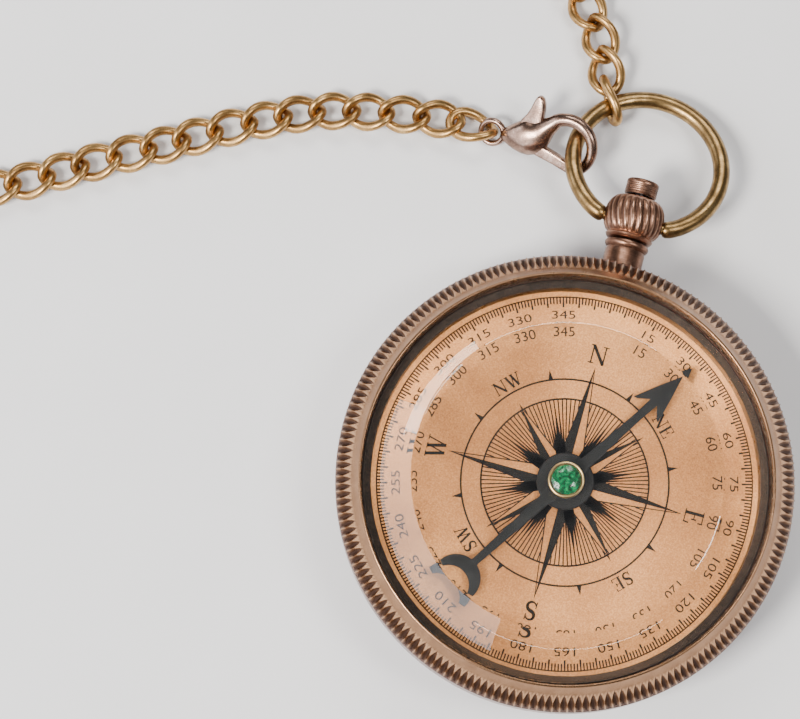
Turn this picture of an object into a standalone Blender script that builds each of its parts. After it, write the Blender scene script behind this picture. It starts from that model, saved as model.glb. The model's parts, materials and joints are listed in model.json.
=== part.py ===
"""A pocket compass with a fluted bezel, a needle that a push button arrests, a wire bow and a chain.

Metres, +Z up. The origin is the middle of the case's flat back. The dial faces +Z, and its north
points along +Y, towards the pendant.
"""

import math

import bmesh
import bpy
from mathutils import Matrix, Vector

MM = 0.001

# Case, from the back up
CASE_R = 30.3 * MM
BACK_R = 23.0 * MM
BACK_ROUND_H = 8.0 * MM
FLOOR_T = 1.5 * MM
INNER_R = 24.8 * MM
DIAL_SEAT_Z = 8.7 * MM
SEAT_BORE_R = 26.5 * MM
CASE_RIM_Z = 11.9 * MM
SPIGOT_INNER_R = 27.2 * MM
SPIGOT_R = 28.4 * MM
SPIGOT_TOP = 13.0 * MM

# Bezel
BEZEL_R = 30.0 * MM
BEZEL_FOOT_Z = 12.2 * MM
FLUTE_TOP_R = 28.15 * MM
FLUTE_TOP_Z = 14.75 * MM
FLUTES = 190
FLUTE_DEPTH = 0.4 * MM
LIP_R = 27.2 * MM
LIP_Z = 16.2 * MM
BEZEL_BORE_R = 26.9 * MM

# Glass, dial and their rings
GLASS_R = 26.6 * MM
GLASS_FOOT_Z = 12.8 * MM
GLASS_EDGE_Z = 13.7 * MM
GLASS_TABLE_R = 20.4 * MM
GLASS_TOP_Z = 17.0 * MM
GASKET_INNER_R = 25.3 * MM
GASKET_FOOT_Z = 12.1 * MM
GASKET_T = 0.5 * MM
DIAL_R = 26.2 * MM
DIAL_Z = 9.0 * MM
DIAL_T = 0.4 * MM
DIAL_HOLE_R = 3.1 * MM
DIAL_RING_INNER_R = 24.0 * MM
DIAL_RING_SLOPE = 1.2 * MM
DIAL_RING_TOP = 11.8 * MM
FIT_GAP = 0.3 * MM

# Needle, turning on the pin; its parts are stacked along Z
NEEDLE_BEARING_DEG = 33.1
NEEDLE_TIP = 21.0 * MM
NEEDLE_TAIL = 19.3 * MM
BLADE_Z = 10.75 * MM
BLADE_T = 0.2 * MM
HUB_R = 3.8 * MM
HUB_Z = 10.2 * MM
HUB_T = 0.35 * MM
JEWEL_R = 1.0 * MM
CUP_R = 2.4 * MM
CUP_Z = 11.15 * MM
CUP_TOP = 12.4 * MM
STONE_R = 2.0 * MM
PIN_R = 0.25 * MM
PIN_TIP_Z = 10.35 * MM
POST_R = 1.0 * MM
POST_TOP = 9.4 * MM

# Pendant: neck, ball and push button on one axis along +Y
PENDANT_Z = 7.8 * MM
NECK_R = 2.7 * MM
NECK_START = 27.6 * MM
BALL_START = 34.2 * MM
BALL_R = 4.1 * MM
BALL_GROOVES = 24
ROD_R = 0.7 * MM
ROD_HOLE_R = 1.0 * MM
BUTTON_R = 2.2 * MM
BUTTON_START = 40.6 * MM
BUTTON_H = 2.1 * MM
CROSS_PIN_R = 0.25 * MM
CROSS_PIN_HALF = 1.8 * MM

# Arrest lever under the dial
LEVER_PIVOT_Y = 14.0 * MM
LEVER_PIVOT_Z = 5.6 * MM
LEVER_TAIL_Y = 20.6 * MM
LEVER_TAIL_T = 1.1 * MM
LEVER_HALF_W = 2.0 * MM
LEVER_BOSS_R = 1.5 * MM
LEVER_PIN_R = 0.5 * MM
CONE_TIP_Y = 20.2 * MM
CONE_TIP_R = 0.35 * MM
CONE_LENGTH = 1.5 * MM
SLEEVE_R = 2.6 * MM
SLEEVE_BORE_R = 1.6 * MM
SLEEVE_TOP = 9.45 * MM
SCREW_X = 5.2 * MM
SCREW_R = 0.6 * MM

# Bow, hinged on the ball's sides; 0 on its joint is this rest tilt
PIVOT_Y = 37.0 * MM
BOW_TILT_DEG = 17.0
BOW_MEAN_R = 10.2 * MM
BOW_CENTRE = 9.1 * MM
BOW_WIRE_R = 1.15 * MM
BOW_SPAN_DEG = 138.0
BOW_PIN_R = 0.7 * MM
BOW_PIN_END = 2.9 * MM

# Chain, in links of one size
LINK_WIRE_R = 0.66 * MM
LINK_LENGTH = 7.5 * MM
LINK_WIDTH = 5.4 * MM
CHAIN_TUBE_R = 2.6 * MM
CHAIN_STEP = 4 * CHAIN_TUBE_R
CHAIN_LIFT = 0.05 * MM
END_LINK_BOW_DEG = -42.0
END_LINK_HEADING_DEG = 111.6
END_LINK_SLACK = 0.8 * MM
END_LINK_Z = 2.9 * MM
CLASP_LINK_Z = 1.6 * MM
CLASP_LINK_REACH = 2.9 * MM
CLASP_LINK_ROLL_DEG = -24.0
CHAIN_ROUTE_MM = [
    (-29.1, 45.1), (-35.3, 44.2), (-44.9, 41.9), (-54.2, 37.6), (-64.0, 31.9), (-73.6, 26.4),
    (-82.8, 20.9), (-92.6, 17.0), (-102.8, 17.6), (-111.6, 23.2), (-116.8, 32.4), (-117.6, 43.2),
    (-113.6, 53.4), (-106.0, 61.2), (-96.0, 65.6), (-85.2, 67.4), (-74.4, 69.2), (-63.8, 72.2),
    (-53.2, 75.2), (-42.4, 76.4), (-31.6, 76.2), (-22.4, 73.2), (-15.6, 67.8), (-11.3, 62.9),
    (-8.75, 57.6),
]

# Clasp, in its own frame: x from the eye to the hook, y across, z through its thickness
CLASP_EYE_M = (-0.0216, 0.0454, 0.0016)
CLASP_SLOPE_DEG = 17.0
CLASP_ROLL_DEG = 31.0
EYE_HOLE_R = 1.35 * MM
EYE_R = 1.95 * MM
EYE_T = 0.9 * MM
HOOK_CENTRE_X = 10.75 * MM
HOOK_INNER_R = 2.95 * MM
HOOK_BAR = 1.5 * MM
HOOK_T = 1.4 * MM
CLASP_BODY_T = 2.8 * MM
GATE_PIN_X = 5.5 * MM
GATE_PIN_R = 0.4 * MM
GATE_T = 1.3 * MM
GATE_REACH = 7.25 * MM
SLOT_T = 1.9 * MM

ALONG_Y = Matrix.Rotation(math.radians(-90), 4, "X")
ALONG_X = Matrix.Rotation(math.radians(90), 4, "Y")
SIDE_VIEW = Matrix(((0, 0, 1, 0), (1, 0, 0, 0), (0, 1, 0, 0), (0, 0, 0, 1)))
FRONT_VIEW = Matrix(((1, 0, 0, 0), (0, 0, -1, 0), (0, 1, 0, 0), (0, 0, 0, 1)))


def clear_scene():
    for obj in list(bpy.data.objects):
        bpy.data.objects.remove(obj, do_unlink=True)


def make_material(name, colour, metallic, roughness):
    """A plain finish: base colour, metallic value and roughness on a Principled shader."""
    material = bpy.data.materials.new(name)
    material.use_nodes = True
    shader = material.node_tree.nodes["Principled BSDF"]
    shader.inputs["Base Color"].default_value = (*colour, 1.0)
    shader.inputs["Metallic"].default_value = metallic
    shader.inputs["Roughness"].default_value = roughness
    return material


def make_empty(name, placement, parent=None):
    """An axis that pieces are parented to, at a world placement."""
    empty = bpy.data.objects.new(name, None)
    bpy.context.scene.collection.objects.link(empty)
    if parent:
        empty.parent = parent
        empty.matrix_parent_inverse = parent.matrix_world.inverted()
    empty.matrix_basis = placement
    bpy.context.view_layer.update()
    return empty


def make_object(name, bm, finish, parent=None, smooth_deg=35.0):
    """Store a mesh as a named object. Its points are in its parent's frame."""
    mesh = bpy.data.meshes.new(name)
    bmesh.ops.recalc_face_normals(bm, faces=bm.faces[:])
    bm.to_mesh(mesh)
    bm.free()
    mesh.materials.append(make_material(name, *finish))
    mesh.shade_smooth()
    mesh.set_sharp_from_angle(angle=math.radians(smooth_deg))
    obj = bpy.data.objects.new(name, mesh)
    bpy.context.scene.collection.objects.link(obj)
    obj.parent = parent
    return obj


def turned(outline, sides, ring=False):
    """Spin an (r, z) outline about Z. A ring's outline closes on itself; another's ends on the axis."""
    bm = bmesh.new()
    points = [bm.verts.new((r, 0.0, z)) for r, z in outline]
    edges = [bm.edges.new(pair) for pair in zip(points, points[1:])]
    if ring:
        edges.append(bm.edges.new((points[-1], points[0])))
    axis = {"cent": (0, 0, 0), "axis": (0, 0, 1)}
    bmesh.ops.spin(bm, geom=points + edges, **axis, angle=math.tau, steps=sides, use_merge=True)
    bmesh.ops.remove_doubles(bm, verts=bm.verts[:], dist=1e-7)
    return bm


def plate(outline, z, thickness):
    """Extrude a flat (x, y) outline upwards from z."""
    bm = bmesh.new()
    face = bm.faces.new([bm.verts.new((x, y, z)) for x, y in outline])
    grown = bmesh.ops.extrude_face_region(bm, geom=[face])["geom"]
    raised = [item for item in grown if isinstance(item, bmesh.types.BMVert)]
    bmesh.ops.translate(bm, verts=raised, vec=(0, 0, thickness))
    return bm


def box(low, high):
    """A box between two corners."""
    bm = bmesh.new()
    size = Vector(high) - Vector(low)
    place = Matrix.Translation((Vector(low) + Vector(high)) / 2) @ Matrix.Diagonal((*size, 1.0))
    bmesh.ops.create_cube(bm, size=1.0, matrix=place)
    return bm


def rod(radius, start, end, sides=20):
    """A plain cylinder along Z from start to end."""
    return turned([(0, start), (radius, start), (radius, end), (0, end)], sides)


def arc(centre, radius, start_deg, end_deg, steps):
    """Points along a circular arc in a plane, both ends included."""
    angles = [math.radians(start_deg + (end_deg - start_deg) * i / steps) for i in range(steps + 1)]
    return [(centre[0] + radius * math.cos(a), centre[1] + radius * math.sin(a)) for a in angles]


def boolean(target, tool, operation="DIFFERENCE"):
    """Cut a tool's shape out of a piece, or join it on, and leave the tool as a guide."""
    tool.hide_render = True
    tool.display_type = "WIRE"
    modifier = target.modifiers.new(tool.name, "BOOLEAN")
    modifier.operation = operation
    modifier.object = tool


def cut(target, name, bm, parent=None, placement=None):
    """Make a cutter from a mesh and cut it out of a piece."""
    tool = make_object(name, bm, ((0.5, 0.5, 0.5), 0.0, 0.5), parent)
    if placement:
        tool.matrix_basis = placement
    boolean(target, tool)


def wire(name, points, radius, finish, parent=None, closed=False, sides=3, radii=None):
    """A round wire along points: a curve with a bevel and, where it is open, filled caps."""
    curve = bpy.data.curves.new(name, "CURVE")
    curve.dimensions = "3D"
    curve.bevel_depth = radius
    curve.bevel_resolution = sides
    curve.use_fill_caps = True
    spline = curve.splines.new("POLY")
    spline.points.add(len(points) - 1)
    for index, place in enumerate(points):
        spline.points[index].co = (*place, 1.0)
        spline.points[index].radius = radii[index] if radii else 1.0
    spline.use_cyclic_u = closed
    spline.use_smooth = True
    curve.materials.append(make_material(name, *finish))
    obj = bpy.data.objects.new(name, curve)
    bpy.context.scene.collection.objects.link(obj)
    obj.parent = parent
    return obj


ANTIQUE_COPPER = ((0.42, 0.25, 0.17), 1.0, 0.34)
ANTIQUE_BRASS = ((0.46, 0.34, 0.16), 1.0, 0.36)
CHAIN_BRASS = ((0.62, 0.42, 0.18), 1.0, 0.30)
PALE_BRONZE = ((0.66, 0.56, 0.50), 1.0, 0.28)
DARK_METAL = ((0.10, 0.08, 0.08), 1.0, 0.45)
STEEL = ((0.60, 0.60, 0.60), 1.0, 0.30)
MATTE_BLACK = ((0.015, 0.014, 0.014), 0.0, 0.55)


# ---------------------------------------------------------------- case, dial and glass

def make_case(pendant):
    """The turned case: back, rounded edge, wall, dial seat and the spigot that the bezel grips."""
    back_round = arc((0.0, 0.0), 1.0, -90, 0, 7)
    edge = [(BACK_R + (CASE_R - BACK_R) * x, BACK_ROUND_H * (1 + z)) for x, z in back_round]
    outline = [(0, 0), *edge, (CASE_R, CASE_RIM_Z), (SPIGOT_R, CASE_RIM_Z), (SPIGOT_R, SPIGOT_TOP),
               (SPIGOT_INNER_R, SPIGOT_TOP), (SPIGOT_INNER_R, CASE_RIM_Z), (SEAT_BORE_R, CASE_RIM_Z),
               (SEAT_BORE_R, DIAL_SEAT_Z), (INNER_R, DIAL_SEAT_Z), (INNER_R, FLOOR_T + 1.0 * MM),
               (INNER_R - 1.0 * MM, FLOOR_T), (0, FLOOR_T)]
    case = make_object("case_cup", turned(outline, 72), ANTIQUE_COPPER)
    neck_hole = rod(NECK_R + FIT_GAP, NECK_START - FIT_GAP, CASE_R + 2.0 * MM, 24)
    cut(case, "neck_hole_cutter", neck_hole, pendant)
    cut(case, "rod_hole_cutter", rod(ROD_HOLE_R, INNER_R - 2.0 * MM, NECK_START, 16), pendant)
    for side, x in enumerate((-SCREW_X, SCREW_X), start=1):
        place = Matrix.Translation((x, LEVER_PIVOT_Y, 0))
        hole = rod(SCREW_R + FIT_GAP, FLOOR_T - 1.0 * MM, FLOOR_T + 1.0 * MM, 12)
        cut(case, f"screw_hole_cutter_{side}", hole, placement=place)


def make_bezel():
    """The bezel ring: each quad of its sloping band is split, and the new edge sunk as a groove."""
    outline = [(SPIGOT_R + FIT_GAP, BEZEL_FOOT_Z), (BEZEL_R - 0.3 * MM, BEZEL_FOOT_Z),
               (BEZEL_R, BEZEL_FOOT_Z + 0.3 * MM), (FLUTE_TOP_R, FLUTE_TOP_Z), (LIP_R, LIP_Z),
               (BEZEL_BORE_R, LIP_Z), (BEZEL_BORE_R, SPIGOT_TOP + FIT_GAP),
               (SPIGOT_R + FIT_GAP, SPIGOT_TOP + FIT_GAP)]
    bm = turned(outline, FLUTES, ring=True)
    levels = (BEZEL_FOOT_Z + 0.3 * MM, FLUTE_TOP_Z)

    def on_band(edge):
        return any(all(abs(v.co.z - level) < 1e-6 for v in edge.verts) for level in levels)

    split = bmesh.ops.subdivide_edges(bm, edges=[e for e in bm.edges if on_band(e)], cuts=1)
    for item in split["geom_inner"]:
        if isinstance(item, bmesh.types.BMVert):
            radius = math.hypot(item.co.x, item.co.y)
            item.co.x *= (radius - FLUTE_DEPTH) / radius
            item.co.y *= (radius - FLUTE_DEPTH) / radius
    make_object("bezel_ring", bm, ANTIQUE_COPPER)


def make_glass():
    """The thick glass: a flat table, a broad bevel and a short upright edge."""
    outline = [(0, GLASS_FOOT_Z), (GLASS_R, GLASS_FOOT_Z), (GLASS_R, GLASS_EDGE_Z),
               (GLASS_TABLE_R, GLASS_TOP_Z), (0, GLASS_TOP_Z)]
    make_object("glass_lens", turned(outline, 72), ((0.95, 0.97, 0.96), 0.0, 0.03))
    gasket_outer_r = SPIGOT_INNER_R - FIT_GAP
    gasket_top = GASKET_FOOT_Z + GASKET_T
    gasket = [(GASKET_INNER_R, GASKET_FOOT_Z), (gasket_outer_r, GASKET_FOOT_Z), (gasket_outer_r, gasket_top),
              (GASKET_INNER_R, gasket_top)]
    make_object("glass_gasket", turned(gasket, 64, ring=True), ((0.03, 0.03, 0.03), 0.0, 0.7))


def make_dial():
    """The dial plate on its seat, held down by the sloping ring between it and the gasket."""
    top = DIAL_Z + DIAL_T
    outline = [(DIAL_HOLE_R, DIAL_Z), (DIAL_R, DIAL_Z), (DIAL_R, top), (DIAL_HOLE_R, top)]
    make_object("dial_plate", turned(outline, 64, ring=True), ((0.60, 0.37, 0.27), 1.0, 0.38))
    foot = top + FIT_GAP
    ring = [(DIAL_RING_INNER_R, foot), (DIAL_R, foot), (DIAL_R, DIAL_RING_TOP),
            (DIAL_RING_INNER_R + DIAL_RING_SLOPE, DIAL_RING_TOP)]
    make_object("dial_ring", turned(ring, 64, ring=True), DARK_METAL)


def make_pivot():
    """The post on the case floor, and the hardened pin in it that the needle turns on."""
    foot = FLOOR_T + FIT_GAP
    outline = [(0, foot), (3.0 * MM, foot), (3.0 * MM, foot + 0.8 * MM), (POST_R, foot + 1.2 * MM),
               (POST_R, POST_TOP), (PIN_R + 0.2 * MM, POST_TOP), (PIN_R + 0.2 * MM, POST_TOP - 1.5 * MM),
               (0, POST_TOP - 1.5 * MM)]
    make_object("pivot_post", turned(outline, 24), ANTIQUE_BRASS)
    seat = POST_TOP - 1.3 * MM
    pin = [(0, seat), (PIN_R, seat), (PIN_R, PIN_TIP_Z - 0.5 * MM), (0, PIN_TIP_Z)]
    make_object("pivot_pin", turned(pin, 16), STEEL)


# ---------------------------------------------------------------- needle

def needle_outline():
    """Half of the needle's outline from tip to tail, then the same points mirrored."""
    horn = (3.2 * MM, -NEEDLE_TAIL)
    back = arc((0, -NEEDLE_TAIL), 3.2 * MM, 78, 4, 6)
    hollow = arc((0, -NEEDLE_TAIL - 0.8 * MM), 2.75 * MM, 20, 90, 5)
    eye = arc((0, 0), 2.3 * MM, 64, -64, 8)
    half = [(0, NEEDLE_TIP), (2.2 * MM, 15.3 * MM), (0.6 * MM, 16.5 * MM), *eye, (0.6 * MM, -15.6 * MM),
            *back, horn, *hollow]
    return half + [(-x, y) for x, y in reversed(half[1:-1])]


def make_needle(spin):
    """Blade, hub disc, bearing jewel, cup and stone, all turning on the pin's axis."""
    blade = make_object("needle_blade", plate(needle_outline(), BLADE_Z, BLADE_T), MATTE_BLACK, spin)
    cut(blade, "blade_hole_cutter", rod(JEWEL_R + FIT_GAP, HUB_Z, CUP_Z, 20), spin)
    hub_bore = JEWEL_R + FIT_GAP
    hub = [(hub_bore, HUB_Z), (HUB_R, HUB_Z), (HUB_R, HUB_Z + HUB_T), (hub_bore, HUB_Z + HUB_T)]
    make_object("needle_hub", turned(hub, 40, ring=True), MATTE_BLACK, spin)
    foot = HUB_Z - 0.1 * MM
    jewel = [(0, PIN_TIP_Z + FIT_GAP), (0.6 * MM, foot), (JEWEL_R, foot), (JEWEL_R, CUP_Z - 0.2 * MM),
             (0, CUP_Z - 0.2 * MM)]
    make_object("bearing_jewel", turned(jewel, 16), ((0.45, 0.05, 0.10), 0.0, 0.1), spin)
    floor = CUP_Z + 0.25 * MM
    bore = CUP_R - 0.25 * MM
    cup = [(0, CUP_Z), (CUP_R, CUP_Z), (CUP_R, CUP_TOP), (bore, CUP_TOP), (bore, floor), (0, floor)]
    make_object("jewel_cup", turned(cup, 32), ((0.72, 0.55, 0.30), 1.0, 0.25), spin)
    stone_foot = floor + 0.15 * MM
    girdle = CUP_TOP - 0.25 * MM
    stone = [(0, stone_foot), (1.1 * MM, stone_foot), (STONE_R, girdle), (1.3 * MM, CUP_TOP + 0.15 * MM),
             (0, CUP_TOP + 0.15 * MM)]
    make_object("green_stone", turned(stone, 10), ((0.10, 0.30, 0.20), 0.0, 0.05), spin, smooth_deg=5)


# ---------------------------------------------------------------- pendant and button

def make_pendant(axis):
    """The neck in the case wall, and the grooved ball on it, both bored for the rod."""
    shoulder = BALL_START - 0.2 * MM
    spigot_r = 1.8 * MM
    neck = [(ROD_HOLE_R, NECK_START), (NECK_R, NECK_START), (NECK_R, shoulder), (spigot_r, shoulder),
            (spigot_r, shoulder + 1.4 * MM), (ROD_HOLE_R, shoulder + 1.4 * MM)]
    make_object("pendant_neck", turned(neck, 32, ring=True), ANTIQUE_COPPER, axis)
    socket = spigot_r + FIT_GAP
    web = BALL_START + 1.5 * MM
    start = BALL_START
    ball = [(socket, start), (2.95 * MM, start), (3.2 * MM, start + 0.4 * MM), (3.05 * MM, start + 0.7 * MM),
            (3.55 * MM, start + 1.2 * MM), (4.0 * MM, start + 2.2 * MM), (BALL_R, start + 3.2 * MM),
            (3.95 * MM, start + 4.3 * MM), (3.5 * MM, start + 5.4 * MM), (3.05 * MM, start + 6.0 * MM),
            (BUTTON_R + FIT_GAP, start + 6.0 * MM), (BUTTON_R + FIT_GAP, start + 4.8 * MM),
            (1.9 * MM, start + 4.8 * MM), (1.9 * MM, web + 0.6 * MM), (ROD_HOLE_R, web + 0.6 * MM),
            (ROD_HOLE_R, web), (socket, web)]
    bm = turned(ball, 2 * BALL_GROOVES, ring=True)
    for vertex in bm.verts:
        turn = round(math.atan2(vertex.co.y, vertex.co.x) / math.tau * 2 * BALL_GROOVES)
        grooved = start + 1.0 * MM < vertex.co.z < start + 5.6 * MM
        if turn % 2 and grooved and math.hypot(vertex.co.x, vertex.co.y) > 3.3 * MM:
            vertex.co.x *= 0.94
            vertex.co.y *= 0.94
    ball = make_object("pendant_ball", bm, ANTIQUE_COPPER, axis, smooth_deg=20)
    for side in (-1, 1):
        name = "left" if side < 0 else "right"
        place = Matrix.Translation((0, 0, PIVOT_Y)) @ ALONG_X
        hole = rod(BOW_PIN_R + FIT_GAP, side * (BOW_PIN_END - FIT_GAP), side * (BALL_R + 1.0 * MM), 16)
        cut(ball, f"bow_hole_cutter_{name}", hole, axis, place)


def make_button(press, axis):
    """The cap, its rod with a cone end, the cross pin that keeps it in, and the coil spring."""
    top = BUTTON_START + BUTTON_H
    socket_r = ROD_R + FIT_GAP
    ceiling = BUTTON_START + 1.4 * MM
    cap = [(0, ceiling), (socket_r, ceiling), (socket_r, BUTTON_START), (BUTTON_R, BUTTON_START),
           (BUTTON_R, top - 0.2 * MM), (BUTTON_R - 0.2 * MM, top), (0, top)]
    make_object("button_cap", turned(cap, 32), ANTIQUE_COPPER, press)
    end = ceiling - FIT_GAP
    shaft = [(0, CONE_TIP_Y), (CONE_TIP_R, CONE_TIP_Y), (ROD_R, CONE_TIP_Y + CONE_LENGTH), (ROD_R, end),
             (0, end)]
    shaft = make_object("push_rod", turned(shaft, 16), STEEL, press)
    across = Matrix.Translation((0, 0, INNER_R - CROSS_PIN_R - 0.4 * MM)) @ ALONG_X
    hole = rod(CROSS_PIN_R + 0.15 * MM, -CROSS_PIN_HALF, CROSS_PIN_HALF, 12)
    cut(shaft, "cross_hole_cutter", hole, press, across)
    pin = make_object("rod_cross_pin", rod(CROSS_PIN_R, -CROSS_PIN_HALF, CROSS_PIN_HALF, 12), STEEL, press)
    pin.matrix_basis = across
    low = BALL_START + 2.5 * MM
    high = BUTTON_START - 0.5 * MM
    turns = 4
    steps = 10 * turns
    coil = []
    for i in range(steps + 1):
        angle = math.tau * turns * i / steps
        height = low + (high - low) * i / steps
        coil.append((1.35 * MM * math.cos(angle), 1.35 * MM * math.sin(angle), height))
    wire("button_spring", coil, 0.2 * MM, STEEL, axis, sides=1)


# ---------------------------------------------------------------- arrest lever

def make_lever(tilt):
    """The lever: arm, boss and raised tail in one plate, and a sleeve round the post."""
    arm_foot = -0.4 * MM
    arm_top = 0.4 * MM
    tail_y = LEVER_TAIL_Y - LEVER_PIVOT_Y
    tail_top = PENDANT_Z - 0.4 * MM - FIT_GAP - LEVER_PIVOT_Z
    near = SLEEVE_BORE_R + 0.5 * MM - LEVER_PIVOT_Y
    outline = [(near, arm_foot), *arc((0, 0), LEVER_BOSS_R, 196, 344, 6), (tail_y, arm_foot),
               (tail_y, tail_top), (tail_y - LEVER_TAIL_T, tail_top), (tail_y - LEVER_TAIL_T, arm_top),
               *arc((0, 0), LEVER_BOSS_R, 16, 164, 6), (near, arm_top)]
    bm = plate(outline, -LEVER_HALF_W, 2 * LEVER_HALF_W)
    bmesh.ops.transform(bm, matrix=SIDE_VIEW, verts=bm.verts[:])
    lever = make_object("arrest_lever", bm, ANTIQUE_BRASS, tilt)
    to_post = Matrix.Translation((0, -LEVER_PIVOT_Y, -LEVER_PIVOT_Z))
    sleeve = make_object("lever_sleeve_guide", rod(SLEEVE_R, 5.0 * MM, SLEEVE_TOP, 28), STEEL, tilt)
    sleeve.matrix_basis = to_post
    boolean(lever, sleeve, "UNION")
    cut(lever, "sleeve_bore_cutter", rod(SLEEVE_BORE_R, 4.0 * MM, SLEEVE_TOP + 1.0 * MM, 28), tilt, to_post)
    hole = rod(LEVER_PIN_R + FIT_GAP, -LEVER_HALF_W - 1.0 * MM, LEVER_HALF_W + 1.0 * MM, 16)
    cut(lever, "lever_hole_cutter", hole, tilt, ALONG_X)


def make_lever_mount():
    """The lever's bracket with its two screws and pin, and the leaf spring under the lever's tail."""
    foot = FLOOR_T + FIT_GAP
    top = foot + 0.8 * MM
    cheek_in = LEVER_HALF_W + 0.4 * MM
    cheek_out = cheek_in + 0.8 * MM
    cheek_top = LEVER_PIVOT_Z + 1.4 * MM
    half = [(6.5 * MM, foot), (6.5 * MM, top), (cheek_out, top), (cheek_out, cheek_top),
            (cheek_in, cheek_top), (cheek_in, top)]
    outline = half + [(-x, z) for x, z in reversed(half)]
    bm = plate(outline, -LEVER_PIVOT_Y - 2.0 * MM, 4.0 * MM)
    bmesh.ops.transform(bm, matrix=FRONT_VIEW, verts=bm.verts[:])
    bracket = make_object("lever_bracket", bm, ANTIQUE_BRASS)
    on_axis = Matrix.Translation((0, LEVER_PIVOT_Y, LEVER_PIVOT_Z)) @ ALONG_X
    reach = cheek_out + 1.0 * MM
    cut(bracket, "bracket_hole_cutter", rod(LEVER_PIN_R + FIT_GAP, -reach, reach, 16), placement=on_axis)
    pin = make_object("lever_pin", rod(LEVER_PIN_R, -cheek_out - 0.4 * MM, cheek_out + 0.4 * MM, 16), STEEL)
    pin.matrix_basis = on_axis
    head = top + FIT_GAP
    screw = [(0, foot - 0.9 * MM), (SCREW_R, foot - 0.9 * MM), (SCREW_R, head), (1.1 * MM, head),
             (1.1 * MM, head + 0.6 * MM), (0, head + 0.6 * MM)]
    for side, x in enumerate((-SCREW_X, SCREW_X), start=1):
        place = Matrix.Translation((x, LEVER_PIVOT_Y, 0))
        hole = rod(SCREW_R + FIT_GAP, FLOOR_T, top + 1.0 * MM, 12)
        cut(bracket, f"bracket_screw_cutter_{side}", hole, placement=place)
        make_object(f"bracket_screw_{side}", turned(screw, 12), STEEL).matrix_basis = place
    leaf_mm = [(23.4, 1.8), (23.4, 2.1), (21.7, 2.1), (19.4, 4.5), (18.6, 4.5), (18.6, 4.2), (19.25, 4.2),
               (21.55, 1.8)]
    bm = plate([(y * MM, z * MM) for y, z in leaf_mm], -0.9 * MM, 1.8 * MM)
    bmesh.ops.transform(bm, matrix=SIDE_VIEW, verts=bm.verts[:])
    make_object("lever_spring", bm, STEEL)


# ---------------------------------------------------------------- bow, chain and clasp

def bow_point(angle_deg):
    """A point on the bow's middle line in the bow's frame: 0 degrees is the end far from the pendant."""
    angle = math.radians(angle_deg)
    return Vector((BOW_MEAN_R * math.sin(angle), BOW_CENTRE + BOW_MEAN_R * math.cos(angle), 0))


def make_bow(swing):
    """The wire bow: nearly a full ring, whose thinner ends turn inwards into the ball's sides."""
    pin = BOW_PIN_R / BOW_WIRE_R
    end = [((BOW_PIN_END, 0, 0), pin), ((4.75 * MM, 0, 0), pin), ((5.65 * MM, 0.45 * MM, 0), 1.0)]
    steps = 46
    ring = [bow_point(BOW_SPAN_DEG * (1 - 2 * i / steps)) for i in range(steps + 1)]
    mirrored = [((-x, y, z), r) for (x, y, z), r in reversed(end)]
    places = [p for p, r in end] + ring + [p for p, r in mirrored]
    radii = [r for p, r in end] + [1.0] * len(ring) + [r for p, r in mirrored]
    wire("bow_ring", places, BOW_WIRE_R, ANTIQUE_BRASS, swing, radii=radii)


def link_path():
    """The middle line of one link: straight sides and round ends, its length along x."""
    bend = LINK_WIDTH / 2 - LINK_WIRE_R
    straight = LINK_LENGTH / 2 - LINK_WIRE_R - bend
    right = arc((straight, 0), bend, -90, 90, 7)
    left = arc((-straight, 0), bend, 90, 270, 7)
    return [Vector((x, y, 0)) for x, y in right + left]


def make_links(swing):
    """The chain's two end links: one round the bow, standing on edge, and one in the clasp's eye."""
    on_wire = swing.matrix_world @ bow_point(END_LINK_BOW_DEG)
    heading = Matrix.Rotation(math.radians(END_LINK_HEADING_DEG), 4, "Z")
    middle = on_wire + heading @ Vector((END_LINK_SLACK, 0, 0))
    middle.z = END_LINK_Z
    place = Matrix.Translation(middle) @ heading @ Matrix.Rotation(math.radians(90), 4, "X")
    to_bow = swing.matrix_world.inverted() @ place
    points = [to_bow @ p for p in link_path()]
    wire("chain_end_link", points, LINK_WIRE_R, CHAIN_BRASS, swing, closed=True, sides=2)
    middle = Vector((CLASP_EYE_M[0] - CLASP_LINK_REACH, CLASP_EYE_M[1], CLASP_LINK_Z))
    place = Matrix.Translation(middle) @ Matrix.Rotation(math.radians(CLASP_LINK_ROLL_DEG), 4, "X")
    to_bow = swing.matrix_world.inverted() @ place
    points = [to_bow @ p for p in link_path()]
    wire("clasp_link", points, LINK_WIRE_R, CHAIN_BRASS, swing, closed=True, sides=2)


def smooth_route(points, step):
    """Points a step apart along the smooth curve that passes through the route's own points."""
    ends = [2 * points[0] - points[1], *points, 2 * points[-1] - points[-2]]
    fine = []
    for a, b, c, d in zip(ends, ends[1:], ends[2:], ends[3:]):
        for i in range(20):
            t = i / 20
            fine.append(0.5 * (2 * b + (c - a) * t + (2 * a - 5 * b + 4 * c - d) * t * t
                               + (3 * b - a - 3 * c + d) * t ** 3))
    fine.append(points[-1])
    length = sum((b - a).length for a, b in zip(fine, fine[1:]))
    count = round(length / step)
    spaced = [fine[0]]
    walked = 0.0
    for a, b in zip(fine, fine[1:]):
        walked += (b - a).length
        if walked >= length * len(spaced) / count - 1e-9 and len(spaced) < count:
            spaced.append(b)
    return spaced + [fine[-1]]


def make_chain():
    """The free chain as a plain round cord that lies on the standing surface."""
    height = CHAIN_TUBE_R + CHAIN_LIFT
    route = [Vector((x * MM, y * MM, height)) for x, y in CHAIN_ROUTE_MM]
    wire("chain_run", smooth_route(route, CHAIN_STEP), CHAIN_TUBE_R, CHAIN_BRASS, sides=2)


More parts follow.
